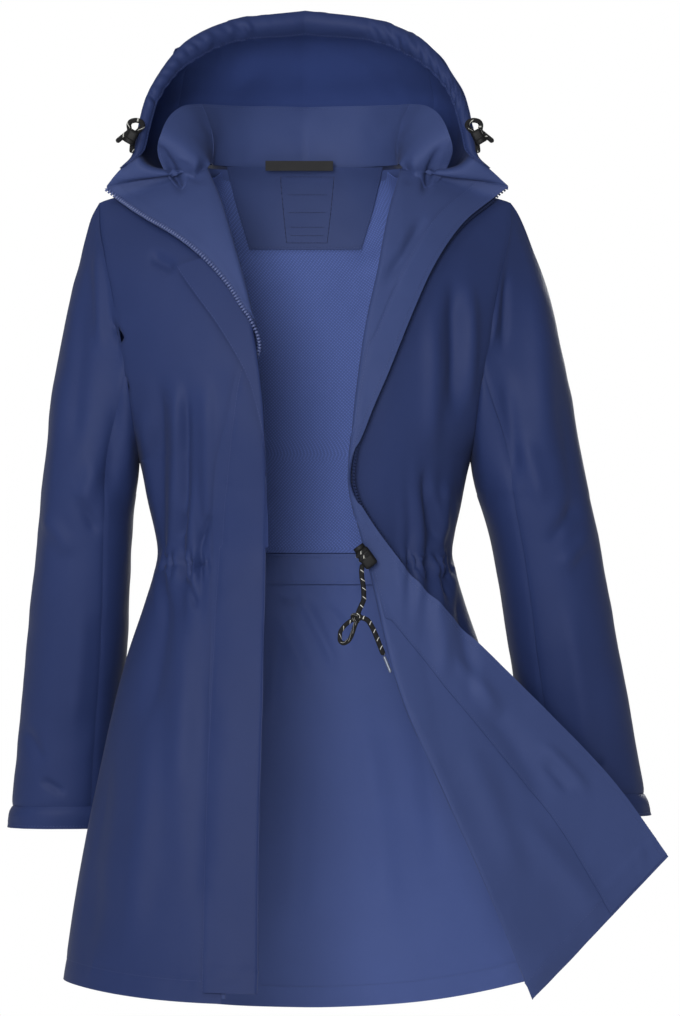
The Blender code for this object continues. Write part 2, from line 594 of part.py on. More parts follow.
BACK_LEVELS = np.array([-0.002, -0.022, -0.050, -0.085, -0.125, -0.170, -0.215, -0.255, -0.292,
                        -0.330, -0.362, -0.3885, -0.403, -0.418, -0.450, -0.500, -0.560,
                        -0.630, -0.700, -0.770, -0.828])
BACK_COLUMNS = np.sin(np.radians(spread(-90.0, 90.0, 19))) * 0.35 + spread(-1.0, 1.0, 19) * 0.65
CASING_ROWS = (11, 13)    # rows of the back behind the drawcord's casing
LINING_TOP = 0.35         # share of a row left free between the lining and the neck
LINING_END = 0.04         # and between the lining and the casing
LOOP_ENDS = (-0.040, 0.027)   # the hanger loop, side to side
LOOP_DEPTH = 0.0585       # how far back it lies at its middle
LOOP_CURVE = 3.6          # and how it follows the neck
YOKE_LIFT = 2.4           # yoke's height off the back, in lining gaps


def back_grid(levels, columns, half_width=None):
    """Rows of the back, side to side, or out to a half width."""
    grid = []
    for level in levels:
        end = float(side_turn(level, back=True))
        if half_width is not None:
            end = float(turn_at(half_width(level), level, back=True))
        points = body_point(np.full(len(columns), level), np.abs(columns) * end, back=True)
        points[:, 0] *= np.sign(columns)
        grid.append(points)
    return np.array(grid)


def inside(grid, distance):
    """The same grid, moved in from the back's inner face."""
    return grid - grid_normals(grid) * distance


def make_back(collection):
    grid = back_grid(BACK_LEVELS, BACK_COLUMNS)
    grid[:, 0, 1] += SEAM_GAP
    grid[:, -1, 1] += SEAM_GAP
    shoulder = np.abs(grid[0, :, 0]) > NECK_HALF - 0.004
    grid[0, shoulder, 1] += SEAM_GAP
    return cloth("back", grid, SHELL, "shell_cloth", collection, outside_first=True)


# ---------------------------------------------------------------- sleeves
def armhole_point(turn, gap):
    """Where a sleeve meridian meets the armhole, moved out by the seam's gap."""
    flat = np.abs(((turn + 180.0) % 360.0) - 180.0)
    height = column(ARMHOLE_START, "turn", "height")(flat)
    front = turn >= 0.0
    x = np.where(front, ARM_FRONT(height), ARM_BACK(height))
    level = level_at(x, height)
    ahead = body_point(level, turn_at(x, level))[..., 1]
    behind = body_point(level, turn_at(x, level, back=True), back=True)[..., 1]
    middle = LEVEL["middle"](level)
    y = np.where(front, ahead, behind)
    y = middle + (y - middle) * ease(np.minimum(flat / 12.0, (180.0 - flat) / 8.0))
    x = x + gap(flat)
    return np.stack([x, y, height], axis=-1)


def tube_point(side, turn, height, grow=0.0):
    rows = SLEEVE[side]
    outer = column(rows, "height", "outer")(height)
    inner = column(rows, "height", "inner")(height)
    half = (outer - inner) / 2.0 + grow
    deep = column(rows, "height", "half_depth")(height) + grow
    angle = np.radians(turn)
    power = 2.0 / SLEEVE_FULLNESS
    x = (outer + inner) / 2.0 + half * np.sign(np.cos(angle)) * np.abs(np.cos(angle)) ** power
    y = column(rows, "height", "middle")(height)
    y = y - deep * np.sign(np.sin(angle)) * np.abs(np.sin(angle)) ** power
    return np.stack([x, y, height + 0.0 * angle], axis=-1)


def sleeve_gap(flat):
    """Gap at the armhole seam, wider at the underarm where the two walls face each other."""
    return 0.0016 + 0.0030 * ease((flat - 95.0) / 60.0)


def sleeve_point(side, turn, down):
    """turn 0 is the outer side, 90 the front, 180 the inner side; down runs 0 to 1 to the cuff."""
    root = armhole_point(turn, sleeve_gap)
    height = root[..., 2] + (CUFF_TOP[side] - root[..., 2]) * down
    here = tube_point(side, turn, height)
    there = tube_point(side, turn, root[..., 2])
    fade = (1.0 - ease(down / 0.24)) ** 1.4
    offset = (root - there) * fade[..., None]
    return here + offset


def seam_turn(down):
    return SEAM_TURN_TOP + (SEAM_TURN_CUFF - SEAM_TURN_TOP) * down


def make_sleeve(side, part, collection):
    downs = np.array([0.0, 0.03, 0.08, 0.15, 0.24, 0.35, 0.50, 0.66, 0.83, 1.0])
    grid = []
    for down in downs:
        seam = seam_turn(down)
        half_gap = math.degrees(SEAM_GAP / 0.05)
        if part == "upper":
            turns = spread(-seam + half_gap, seam - half_gap, 11)
        else:
            turns = spread(seam + half_gap, 360.0 - seam - half_gap, 7)
            turns = np.where(turns > 180.0, turns - 360.0, turns)
        grid.append(sleeve_point(side, turns, np.full(len(turns), down)))
    grid = mirror_to(side, np.array(grid))
    return cloth("sleeve_%s_%s" % (part, side), grid, SHELL, "shell_cloth", collection,
                 outside_first=side == "left")


def make_cuff(side, collection):
    turns = spread(-180.0, 180.0, 17)
    top = CUFF_TOP[side] - 3.0 * SEAM_GAP
    grid = []
    for down in (0.0, 0.35, 1.0):
        height = np.full(len(turns), top - CUFF_HEIGHT * down)
        grow = CUFF_FLARE * min(down / 0.35, 1.0)
        grid.append(tube_point(side, turns, height, grow))
    grid = mirror_to(side, np.array(grid))
    grid[:, -1] = grid[:, 0]
    return cloth("cuff_" + side, grid, SHELL, "shell_cloth", collection, closed=True,
                 outside_first=side == "left")


# ---------------------------------------------------------------- hood and collar
def hood_point(side, place, up):
    """place 0 at the front corner to 1 at the centre back; up 0 at the neck to 1 at the rim."""
    corner = turned_out(side, np.zeros_like(up), up * FOLDS[side][0].width)
    corner = corner + np.array([0.0, 0.0, SHELL + 0.0012])
    rest = 1.0 - up
    weights = (rest ** 3, 3 * rest ** 2 * up, 3 * rest * up ** 2, up ** 3)
    shape = sum(w[..., None] * place_column(HOOD, name)(np.maximum(place, 0.06) + 0.0 * up)
                for w, name in zip(weights, ("neck", "low", "high", "rim")))
    blend = ease(place / 0.12)
    return corner * (1.0 - blend) + shape * blend


HOOD_UPS = np.array([0.0, 0.14, 0.3, 0.46, 0.6, 0.74, 0.87, 1.0])


def make_hood_side(side, collection):
    ups = HOOD_UPS
    places = np.array([0.0, 0.05, 0.10, 0.17, 0.26, 0.36, 0.46, 0.56, HOOD_PANEL - 0.0012])
    grid = [hood_point(side, place, ups) for place in places]
    grid = mirror_to(side, np.array(grid))
    return cloth("hood_side_" + side, grid, SHELL, "shell_cloth", collection,
                 outside_first=side == "left")


def make_hood_centre(collection):
    ups = HOOD_UPS
    places = [HOOD_PANEL + 0.0012, 0.74, 0.82, 0.91]
    half = [mirror_to("right", hood_point("right", place, ups)) for place in places]
    middle = hood_point("right", 1.0, ups)
    other = [hood_point("right", place, ups) for place in reversed(places)]
    return cloth("hood_centre", np.array(half + [middle] + other), SHELL, "shell_cloth",
                 collection, outside_first=False)


def brim_point(place, across):
    """The rim's cord channel: across 0 at the rim to 1 inside it, rounded to the front."""
    rim = place_column(HOOD, "rim")(np.maximum(place, 0.06))
    width = column(BRIM, "place", "width")(place)
    inward = np.array([0.0, 0.0, 0.045]) - rim
    inward[..., 1] = 0.0
    inward = inward / np.linalg.norm(inward, axis=-1)[..., None]
    forward = 0.30 * width * np.sin(math.pi * np.clip(across, 0.0, 1.0)) + 0.0016
    point = rim + inward * (width * across)[..., None]
    point[..., 1] += -forward + 0.35 * width * across
    return point


def make_brim(collection):
    half = [0.135, 0.19, 0.26, 0.34, 0.42, 0.50, 0.58, 0.66, 0.77, 0.88]
    across = np.array([-0.05, 0.3, 0.65, 1.0])
    right = [mirror_to("right", brim_point(np.full(4, place), across)) for place in half]
    middle = brim_point(np.full(4, 1.0), across)
    left = [brim_point(np.full(4, place), across) for place in reversed(half)]
    return cloth("hood_brim", np.array(right + [middle] + left), THIN, "shell_cloth", collection,
                 outside_first=False)


def collar_point(place, up):
    base = place_column(COLLAR, "base")(place)
    top = place_column(COLLAR, "top")(place)
    bow = 0.006 * np.sin(math.pi * up) * ease(place / 0.3)
    point = base + (top - base) * np.asarray(up)[..., None]
    out = place_column(COLLAR, "top")(place) * np.array([1.0, 1.0, 0.0])
    out = out / np.maximum(np.linalg.norm(out, axis=-1), 1e-6)[..., None]
    return point - out * np.asarray(bow)[..., None]


def make_collar(part, collection):
    ups = np.array([0.0, 0.34, 0.68, 1.0])
    if part == "back":
        places = [COLLAR_PANEL + 0.0015, 0.70, 0.79, 0.89]
        half = [mirror_to("right", collar_point(np.full(4, place), ups)) for place in places]
        other = [collar_point(np.full(4, place), ups) for place in reversed(places)]
        grid = np.array(half + [collar_point(np.full(4, 1.0), ups)] + other)
        return cloth("collar_back", grid, SHELL, "inner_cloth", collection, outside_first=True)
    places = spread(0.02, COLLAR_PANEL - 0.0015, 9)
    grid = mirror_to(part, np.array([collar_point(np.full(4, place), ups) for place in places]))
    return cloth("collar_" + part, grid, SHELL, "inner_cloth", collection,
                 outside_first=part == "right")


# ---------------------------------------------------------------- inside of the back
def make_lining(collection):
    whole = back_grid(BACK_LEVELS, BACK_COLUMNS)
    grid = inside(whole, THIN + LINING_GAP)[:CASING_ROWS[0] + 1, 1:-1]
    grid[0] += (grid[1] - grid[0]) * LINING_TOP
    grid[-1] += (grid[-2] - grid[-1]) * LINING_END
    return cloth("mesh_lining", grid, THIN, "mesh_cloth", collection)


def make_waist_casing(collection):
    whole = back_grid(BACK_LEVELS, BACK_COLUMNS)
    grid = inside(whole, THIN + LINING_GAP)[CASING_ROWS[0]:CASING_ROWS[1] + 1, 1:-1]
    return cloth("waist_casing", grid, THIN, "inner_cloth", collection)


def make_yoke(collection):
    half = smooth([-0.082, -0.004], [0.057, 0.082])
    whole = back_grid(np.array([-0.0045, -0.022, -0.042, -0.062, -0.0805]), spread(-1.0, 1.0, 11), half)
    return cloth("neck_yoke", inside(whole, 2.0 * THIN + YOKE_LIFT * LINING_GAP), THIN, "inner_cloth",
                 collection)


def make_hanger_loop(collection):
    xs = spread(*LOOP_ENDS, 9)
    grid = []
    for low in (-0.0055, 0.0055):
        bow = 0.0035 * np.sin(math.pi * (xs - xs[0]) / (xs[-1] - xs[0]))
        y = LOOP_DEPTH - bow - LOOP_CURVE * xs ** 2
        grid.append(np.stack([xs, y, np.full(len(xs), low) - 0.001], axis=-1))
    return cloth("hanger_loop", np.array(grid), THIN, "black_tape", collection,
                 outside_first=False)


# ---------------------------------------------------------------- cords and locks
def through(points, step):
    """A smooth route through a cord's own points, at an even step."""
    places = np.arange(len(points), dtype=float)
    axes = [smooth(places, [p[i] for p in points]) for i in range(3)]
    fine = np.linspace(0.0, places[-1], 200)
    path = np.stack([axis(fine) for axis in axes], axis=-1)
    length = np.concatenate([[0.0], np.cumsum(np.linalg.norm(np.diff(path, axis=0), axis=1))])
    count = max(int(round(length[-1] / step)), 2)
    stops = np.linspace(0.0, length[-1], count + 1)
    return np.stack([np.interp(stops, length, path[:, i]) for i in range(3)], axis=-1)


def make_cord(name, points, thick, collection):
    route = through(points, 2.2 * thick)
    curve = bpy.data.curves.new(name, "CURVE")
    curve.dimensions = "3D"
    curve.bevel_depth = thick / 2.0
    curve.bevel_resolution = 2
    curve.use_fill_caps = True
    spline = curve.splines.new("POLY")
    spline.points.add(len(route) - 1)
    for point, place in zip(spline.points, route):
        point.co = (*place, 1.0)
    return add_object(name, curve, "cord", collection)


def make_ball(name, centre, size, finish, collection, segments=10, rings=7):
    """A rounded lump such as a knot, from a sphere."""
    form = bmesh.new()
    bmesh.ops.create_uvsphere(form, u_segments=segments, v_segments=rings, radius=0.5)
    bmesh.ops.scale(form, vec=size, verts=form.verts)
    mesh = bpy.data.meshes.new(name)
    form.to_mesh(mesh)
    form.free()
    piece = add_object(name, mesh, finish, collection)
    piece.location = centre
    return piece


def make_lock(name, centre, size, tilt, collection):
    """A cord lock's barrel: a block with rounded edges."""
    form = bmesh.new()
    bmesh.ops.create_cube(form, size=1.0)
    bmesh.ops.scale(form, vec=size, verts=form.verts)
    mesh = bpy.data.meshes.new(name)
    form.to_mesh(mesh)
    form.free()
    piece = add_object(name, mesh, "black_plastic", collection)
    piece.location = centre
    piece.rotation_euler = (0.0, tilt, 0.0)
    edge = piece.modifiers.new("edges", "BEVEL")
    edge.width = min(size) * 0.3
    edge.segments = 3
    return piece


def make_hardware(collection):
    make_lock("waist_cord_lock", WAIST_LOCK, (0.016, 0.010, 0.021), math.radians(-24.0), collection)
    make_cord("waist_cord_drop", WAIST_DROP, CORD, collection)
    make_ball("waist_cord_knot", WAIST_KNOT, (0.0095, 0.0090, 0.0095), "cord", collection)
    make_cord("waist_cord_loop", WAIST_LOOP, CORD * 0.86, collection)
    make_cord("waist_cord_tail", WAIST_TAIL, CORD, collection)
    make_cord("waist_cord_tip", tip_points(), 0.0028, collection)
    for side, sign in SIDES.items():
        flip = np.array([sign, 1.0, 1.0])
        make_lock("hood_cord_lock_" + side, tuple(np.array(HOOD_LOCK) * flip), HOOD_LOCK_SIZE,
                  -HOOD_LOCK_TILT * sign, collection)
        make_cord("hood_cord_" + side, [tuple(np.array(p) * flip) for p in HOOD_CORD_ROUTE],
                  HOOD_CORD, collection)


def tip_points():
    """The tail's thin metal-clipped end, just beyond the cord."""
    start, end = np.array(WAIST_TAIL[-1]), np.array(TIP_END)
    along = (end - start) / np.linalg.norm(end - start)
    return [tuple(start + along * d) for d in (0.0006, 0.006, 0.012)] + [tuple(end)]


# ---------------------------------------------------------------- the coat
def main():
    for old in list(bpy.data.objects):
        bpy.data.objects.remove(old, do_unlink=True)
    coat = bpy.data.collections.new(COLLECTION)
    bpy.context.scene.collection.children.link(coat)

    make_back(coat)
    for side in SIDES:
        make_front(side, coat)
        make_sleeve(side, "upper", coat)
        make_sleeve(side, "under", coat)
        make_cuff(side, coat)
        make_hood_side(side, coat)
        make_collar(side, coat)
    make_collar("back", coat)
    make_hood_centre(coat)
    make_brim(coat)
    make_storm_flap(coat)

    inner = -(THIN + LAYER_GAP)
    sewn_on("zip_tape_right", "right", 1, inner, "zip_tape", coat, beyond=ZIP_TEETH)
    sewn_on("zip_tape_left", "left", 1, SHELL + LAYER_GAP, "zip_tape", coat)
    sewn_on("facing_left", "left", 3, inner, "inner_cloth", coat)

    make_lining(coat)
    make_waist_casing(coat)
    make_yoke(coat)
    make_hanger_loop(coat)
    make_hardware(coat)


main()
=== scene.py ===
"""The finished look of the hooded raincoat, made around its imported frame.

Metres, +Z up, front at -Y, origin at the back of the neck. Every cut piece is one sheet of cloth
on its panel's own form, with its folds, seams and stitches. The wearer's right is -X.
"""
import math
from collections import namedtuple

import bmesh
import bpy
import numpy as np
from mathutils import Matrix, Vector


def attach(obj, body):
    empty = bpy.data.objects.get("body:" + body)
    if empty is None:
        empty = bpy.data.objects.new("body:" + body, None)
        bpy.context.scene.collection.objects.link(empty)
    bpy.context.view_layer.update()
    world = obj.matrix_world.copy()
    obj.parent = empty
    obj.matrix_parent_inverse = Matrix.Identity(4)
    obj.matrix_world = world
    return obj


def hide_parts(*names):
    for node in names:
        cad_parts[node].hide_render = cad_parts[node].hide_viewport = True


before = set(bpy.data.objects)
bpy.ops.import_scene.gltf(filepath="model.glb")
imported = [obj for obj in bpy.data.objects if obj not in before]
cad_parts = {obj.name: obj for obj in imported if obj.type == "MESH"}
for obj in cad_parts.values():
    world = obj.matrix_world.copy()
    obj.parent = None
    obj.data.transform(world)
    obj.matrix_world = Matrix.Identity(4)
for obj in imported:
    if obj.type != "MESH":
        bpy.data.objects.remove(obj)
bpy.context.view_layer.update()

# Cloth and seams
SHELL = 0.0012            # wall of the shell cloth
THIN = 0.0010             # wall of flaps, facings, tapes and linings
SEAM_GAP = 0.00025        # half of the gap at a seam
LAYER_GAP = 0.0022        # air between a panel and what is sewn on it
LINING_GAP = 0.0035       # the lining hangs this far inside the back
ON_FOLD = 1e-6            # beyond this past the fold a point is on the turned-back part
ROLL = 0.006              # radius of the turned-back front edge

# Coat sizes
NECK_HALF = 0.097         # side of the neck
UNDERARM = -0.292         # level of the armhole's lowest point
WAIST = -0.397            # level of the drawcord
HEM = -0.828              # front hem
CUFF_TOP = {"right": -0.641, "left": -0.628}
CUFF_HEIGHT = 0.023
STORM_FLAP_REACH = 0.042  # storm flap beyond the zip
STORM_FLAP_SEAM = 0.018   # storm flap's seam, back from the zip
ZIP_TAPE = 0.012          # zip tape behind the front's edge
ZIP_TEETH = 0.004         # and beyond it
COLLAR_PANEL = 0.62       # where the collar's side seams lie, front end 0 to centre back 1
HOOD_PANEL = 0.66         # where the hood's side seams lie
CORD = 0.0050             # waist drawcord
HOOD_CORD = 0.0050

SIDES = {"right": -1.0, "left": 1.0}

def rows_of(kind, *rows):
    return [kind(*row) for row in rows]


# The body's level sections. slope tips a row down the shoulder, rise lifts it at the side.
BodyRow = namedtuple("BodyRow", "level slope half_width front back middle neck_bump rise drop")
BODY = rows_of(BodyRow,
    (-0.002, 0.32, 0.222, 0.0002, 0.0002, 0.004, 0.068, 0.0, 0.0),
    (-0.022, 0.32, 0.222, 0.032, 0.036, 0.004, 0.042, 0.0, 0.0),
    (-0.050, 0.30, 0.222, 0.062, 0.060, 0.003, 0.024, 0.0, 0.0),
    (-0.095, 0.24, 0.219, 0.094, 0.078, 0.002, 0.010, 0.0, 0.0),
    (-0.150, 0.14, 0.212, 0.114, 0.090, 0.000, 0.003, 0.0, 0.0),
    (-0.210, 0.05, 0.201, 0.124, 0.096, -0.002, 0.0, 0.0, 0.0),
    (-0.255, 0.01, 0.184, 0.123, 0.097, -0.004, 0.0, 0.0, 0.0),
    (-0.292, 0.0, 0.1655, 0.119, 0.096, -0.005, 0.0, 0.0, 0.0),
    (-0.340, 0.0, 0.1550, 0.110, 0.092, -0.006, 0.0, 0.0, 0.0),
    (-0.386, 0.0, 0.1465, 0.103, 0.090, -0.007, 0.0, 0.0, 0.0),
    (-0.400, 0.0, 0.1485, 0.103, 0.090, -0.008, 0.0, 0.0, 0.0),
    (-0.433, 0.0, 0.1580, 0.108, 0.097, -0.010, 0.0, 0.0, 0.0),
    (-0.497, 0.0, 0.1790, 0.120, 0.110, -0.014, 0.0, 0.0, 0.0),
    (-0.580, 0.0, 0.1990, 0.132, 0.123, -0.018, 0.0, 0.0, 0.0),
    (-0.664, 0.0, 0.2160, 0.143, 0.138, -0.020, 0.0, 0.003, 0.003),
    (-0.750, 0.0, 0.2300, 0.152, 0.150, -0.020, 0.0, 0.010, 0.011),
    (-0.828, 0.0, 0.2400, 0.160, 0.160, -0.020, 0.0, 0.017, 0.022))
FRONT_FULLNESS = 2.3      # squareness of the front half of a section
BACK_FULLNESS = 2.05      # and of the back half

ArmholeRow = namedtuple("ArmholeRow", "height front_x back_x")
ARMHOLE = rows_of(ArmholeRow,
    (-0.036, 0.2060, 0.2060),
    (-0.061, 0.2050, 0.2020),
    (-0.089, 0.2000, 0.1950),
    (-0.124, 0.1925, 0.1880),
    (-0.178, 0.1825, 0.1810),
    (-0.227, 0.1750, 0.1750),
    (-0.270, 0.1690, 0.1690),
    (-0.292, 0.1654, 0.1654))

# How each front edge is turned back. roll is the fold, edge is the zip edge beyond it, and width
# is the cloth between them; below zero the edge stops short of the fold. depth places an edge
# that has left the body, and None lays it on the body.
FoldRow = namedtuple("FoldRow", "roll_x roll_z edge_x edge_z width depth")
FOLD_RIGHT = rows_of(FoldRow,
    (0.0965, -0.003, 0.198, -0.021, 0.104, None),
    (0.083, -0.035, 0.163, -0.047, 0.083, None),
    (0.073, -0.068, 0.126, -0.070, 0.055, None),
    (0.063, -0.101, 0.094, -0.097, 0.033, None),
    (0.054, -0.135, 0.069, -0.128, 0.018, None),
    (0.047, -0.169, 0.050, -0.167, 0.003, None),
    (0.040, -0.217, 0.040, -0.217, -0.022, None),
    (0.036, -0.267, 0.036, -0.267, -0.032, None),
    (0.035, -0.321, 0.035, -0.321, -0.040, None),
    (0.035, -0.383, 0.035, -0.383, -0.042, None),
    (0.037, -0.500, 0.037, -0.500, -0.042, None),
    (0.040, -0.614, 0.040, -0.614, -0.042, None),
    (0.042, -0.722, 0.042, -0.722, -0.042, None),
    (0.043, -0.828, 0.043, -0.828, -0.042, None))
FOLD_LEFT = rows_of(FoldRow,
    (0.0955, -0.003, 0.203, -0.021, 0.112, None),
    (0.082, -0.053, 0.159, -0.057, 0.080, None),
    (0.072, -0.105, 0.128, -0.102, 0.058, None),
    (0.061, -0.156, 0.105, -0.153, 0.046, None),
    (0.053, -0.207, 0.084, -0.205, 0.033, None),
    (0.047, -0.260, 0.062, -0.258, 0.017, None),
    (0.044, -0.312, 0.046, -0.311, 0.004, None),
    (0.066, -0.414, 0.099, -0.400, 0.038, -0.112),
    (0.092, -0.520, 0.167, -0.471, 0.090, -0.100),
    (0.136, -0.621, 0.235, -0.538, 0.130, -0.086),
    (0.181, -0.721, 0.302, -0.608, 0.166, -0.072),
    (0.225, -0.828, 0.361, -0.688, 0.189, -0.058))
FOLDS = {"right": FOLD_RIGHT, "left": FOLD_LEFT}

# The storm flap's free edge where it is turned back with the right front
FlapRow = namedtuple("FlapRow", "fold_row edge_x edge_z")
STORM_FLAP = rows_of(FlapRow, (2.5, 0.1290, -0.103), (3.0, 0.1230, -0.113),
              (4.0, 0.1060, -0.137), (5.0, 0.0850, -0.166),
              (6.0, 0.0600, -0.214), (7.0, 0.0460, -0.267),
              (8.0, 0.0370, -0.321), (9.0, 0.0350, -0.383))

# Width of the left front's facing, from its edge, at fold rows
FacingRow = namedtuple("FacingRow", "fold_row width")
FACING = rows_of(FacingRow, (0.0, 0.034), (3.0, 0.031), (6.0, 0.038),
          (7.0, 0.044), (9.0, 0.062), (11.0, 0.079))

# Sleeve sections: outer and inner side, middle and half depth front to back
SleeveRow = namedtuple("SleeveRow", "height outer inner middle half_depth")
SLEEVE = {
    "right": rows_of(SleeveRow,
        (-0.030, 0.209, 0.150, 0.002, 0.046),
        (-0.052, 0.2195, 0.154, 0.002, 0.052),
        (-0.094, 0.2275, 0.157, 0.001, 0.058),
        (-0.191, 0.2450, 0.161, -0.001, 0.063),
        (-0.234, 0.2530, 0.1635, -0.002, 0.064),
        (-0.300, 0.2600, 0.1695, -0.002, 0.064),
        (-0.400, 0.2700, 0.1750, 0.012, 0.060),
        (-0.500, 0.2810, 0.1815, 0.034, 0.055),
        (-0.600, 0.2910, 0.1925, 0.056, 0.049),
        (-0.664, 0.2960, 0.1990, 0.066, 0.046)),
    "left": rows_of(SleeveRow,
        (-0.030, 0.2120, 0.150, 0.002, 0.046),
        (-0.048, 0.2240, 0.154, 0.002, 0.052),
        (-0.094, 0.2370, 0.157, 0.001, 0.058),
        (-0.174, 0.2540, 0.161, -0.001, 0.062),
        (-0.300, 0.2790, 0.1700, -0.002, 0.064),
        (-0.390, 0.2960, 0.1890, 0.008, 0.061),
        (-0.516, 0.3200, 0.2110, 0.026, 0.056),
        (-0.600, 0.3345, 0.2270, 0.038, 0.050),
        (-0.652, 0.3440, 0.2370, 0.044, 0.047)),
}
SLEEVE_FULLNESS = 2.2
ARMHOLE_TUCK = 0.0006     # a sleeve starts this far inside the armhole
CUFF_FLARE = 0.0035
# Where a sleeve meridian leaves the armhole: 0 is the shoulder, 180 the underarm
ArmholeStart = namedtuple("ArmholeStart", "turn height")
ARMHOLE_START = rows_of(ArmholeStart,
    (0, -0.0365), (25, -0.052), (50, -0.085), (75, -0.130), (107, -0.202), (140, -0.256),
    (165, -0.284), (180, -0.2915))
SEAM_TURN_TOP, SEAM_TURN_CUFF = 107.0, 126.0   # the sleeve's two seams

# Hood from the neck seam (low) to its rim; one half, front corner 0 to centre back 1
HoodRow = namedtuple("HoodRow", "place neck low high rim")
HOOD = rows_of(HoodRow,
    (0.06, (0.100, -0.001, 0.002), (0.122, -0.026, -0.012), (0.158, -0.030, -0.018),
            (0.188, -0.014, -0.006)),
    (0.14, (0.100, 0.003, 0.003), (0.124, -0.012, -0.006), (0.160, -0.020, -0.010),
            (0.172, -0.018, 0.010)),
    (0.24, (0.099, 0.010, 0.003), (0.128, 0.016, -0.012), (0.172, 0.010, -0.006),
            (0.167, -0.014, 0.034)),
    (0.36, (0.098, 0.020, 0.003), (0.130, 0.045, -0.030), (0.180, 0.060, -0.002),
            (0.160, -0.004, 0.064)),
    (0.50, (0.092, 0.038, 0.003), (0.125, 0.085, -0.050), (0.185, 0.130, 0.020),
            (0.145, 0.008, 0.094)),
    (0.64, (0.076, 0.056, 0.002), (0.105, 0.112, -0.068), (0.165, 0.210, 0.035),
            (0.116, 0.024, 0.128)),
    (0.80, (0.046, 0.070, 0.001), (0.062, 0.128, -0.082), (0.100, 0.275, 0.045),
            (0.068, 0.042, 0.149)),
    (1.00, (0.000, 0.078, 0.000), (0.000, 0.132, -0.088), (0.000, 0.300, 0.050),
            (0.000, 0.052, 0.158)))
BrimRow = namedtuple("BrimRow", "place width")
BRIM = rows_of(BrimRow, (0.0, 0.010), (0.14, 0.011), (0.36, 0.012), (0.5, 0.014),
        (0.64, 0.022), (0.8, 0.023), (1.0, 0.023))

# Stand collar inside the hood, front end 0 to centre back 1
CollarRow = namedtuple("CollarRow", "place base top")
COLLAR = rows_of(CollarRow,
    (0.00, (0.1240, -0.0480, -0.0270), (0.1265, -0.0490, -0.0250)),
    (0.10, (0.1150, -0.0400, -0.0200), (0.1400, -0.0420, -0.0060)),
    (0.22, (0.1060, -0.0290, -0.0110), (0.1475, -0.0340, 0.0150)),
    (0.34, (0.0985, -0.0160, -0.0030), (0.1430, -0.0230, 0.0330)),
    (0.46, (0.0945, -0.0020, 0.0020), (0.1350, -0.0060, 0.0500)),
    (0.56, (0.0935, 0.0140, 0.0030), (0.1180, 0.0180, 0.0620)),
    (0.66, (0.0930, 0.0300, 0.0025), (0.0960, 0.0480, 0.0640)),
    (0.82, (0.0580, 0.0610, 0.0015), (0.0560, 0.0800, 0.0640)),
    (1.00, (0.0000, 0.0750, 0.0005), (0.0000, 0.0920, 0.0635)))

# Waist cord's own points: the drop from its lock, the loop and the tail beyond the knot
WAIST_LOCK = (0.0610, -0.1260, -0.391)
WAIST_DROP = [(0.0572, -0.1275, -0.3970), (0.0562, -0.1262, -0.4045), (0.0565, -0.1262, -0.4100),
              (0.0580, -0.1265, -0.4200), (0.0585, -0.1270, -0.4300), (0.0560, -0.1275, -0.4380),
              (0.0535, -0.1278, -0.4435), (0.0518, -0.1280, -0.4485)]
WAIST_KNOT = (0.0510, -0.1280, -0.4500)
WAIST_LOOP = [(0.0505, -0.1285, -0.4505), (0.0455, -0.1290, -0.4530), (0.0395, -0.1295, -0.4580),
              (0.0350, -0.1300, -0.4650), (0.0347, -0.1305, -0.4715), (0.0385, -0.1310, -0.4752),
              (0.0435, -0.1310, -0.4725), (0.0470, -0.1305, -0.4660), (0.0495, -0.1295, -0.4585),
              (0.0518, -0.1288, -0.4520)]
WAIST_TAIL = [(0.0520, -0.1290, -0.4510), (0.0560, -0.1292, -0.4500), (0.0615, -0.1294, -0.4520),
              (0.0665, -0.1300, -0.4590), (0.0705, -0.1305, -0.4680), (0.0745, -0.1310, -0.4780),
              (0.0780, -0.1315, -0.4870)]
TIP_END = (0.0850, -0.1325, -0.5040)

# Hood cord: one tail, the ring through the rim's eyelet, and the other tail, held by its lock.
# The other side is its mirror image.
HOOD_LOCK = (0.1722, -0.0335, 0.0288)
HOOD_LOCK_TILT = math.radians(30.0)
HOOD_CORD_ROUTE = [
    (0.1880, -0.0285, 0.0226), (0.1830, -0.0280, 0.0268), (0.1786, -0.0272, 0.0304),
    (0.1748, -0.0268, 0.0345), (0.1754, -0.0270, 0.0396), (0.1730, -0.0272, 0.0434),
    (0.1682, -0.0274, 0.0444), (0.1634, -0.0272, 0.0430), (0.1616, -0.0270, 0.0394),
    (0.1640, -0.0268, 0.0358), (0.1676, -0.0266, 0.0322), (0.1702, -0.0266, 0.0270),
    (0.1718, -0.0268, 0.0215), (0.1724, -0.0270, 0.0160), (0.1727, -0.0272, 0.0116),
]

# ---------------------------------------------------------------- curves through the tables
def smooth(stations, values):
    """A smooth function through a table's column that never overshoots between rows."""
    s = np.asarray(stations, float)
    v = np.asarray(values, float)
    if s[0] > s[-1]:
        s, v = s[::-1], v[::-1]
    step = np.diff(s)
    slope = np.diff(v) / step
    tangent = np.zeros_like(v)
    tangent[0], tangent[-1] = slope[0], slope[-1]
    for i in range(1, len(s) - 1):
        before, after = slope[i - 1], slope[i]
        if before * after > 0.0:
            w1 = 2.0 * step[i] + step[i - 1]
            w2 = step[i] + 2.0 * step[i - 1]
            tangent[i] = (w1 + w2) / (w1 / before + w2 / after)

    def at(x):
        x = np.clip(np.asarray(x, float), s[0], s[-1])
        i = np.clip(np.searchsorted(s, x) - 1, 0, len(s) - 2)
        h = step[i]
        t = (x - s[i]) / h
        rest = 1.0 - t
        start = (1.0 + 2.0 * t) * rest * rest * v[i] + t * rest * rest * h * tangent[i]
        end = t * t * (3.0 - 2.0 * t) * v[i + 1] + t * t * (t - 1.0) * h * tangent[i + 1]
        return start + end
    return at


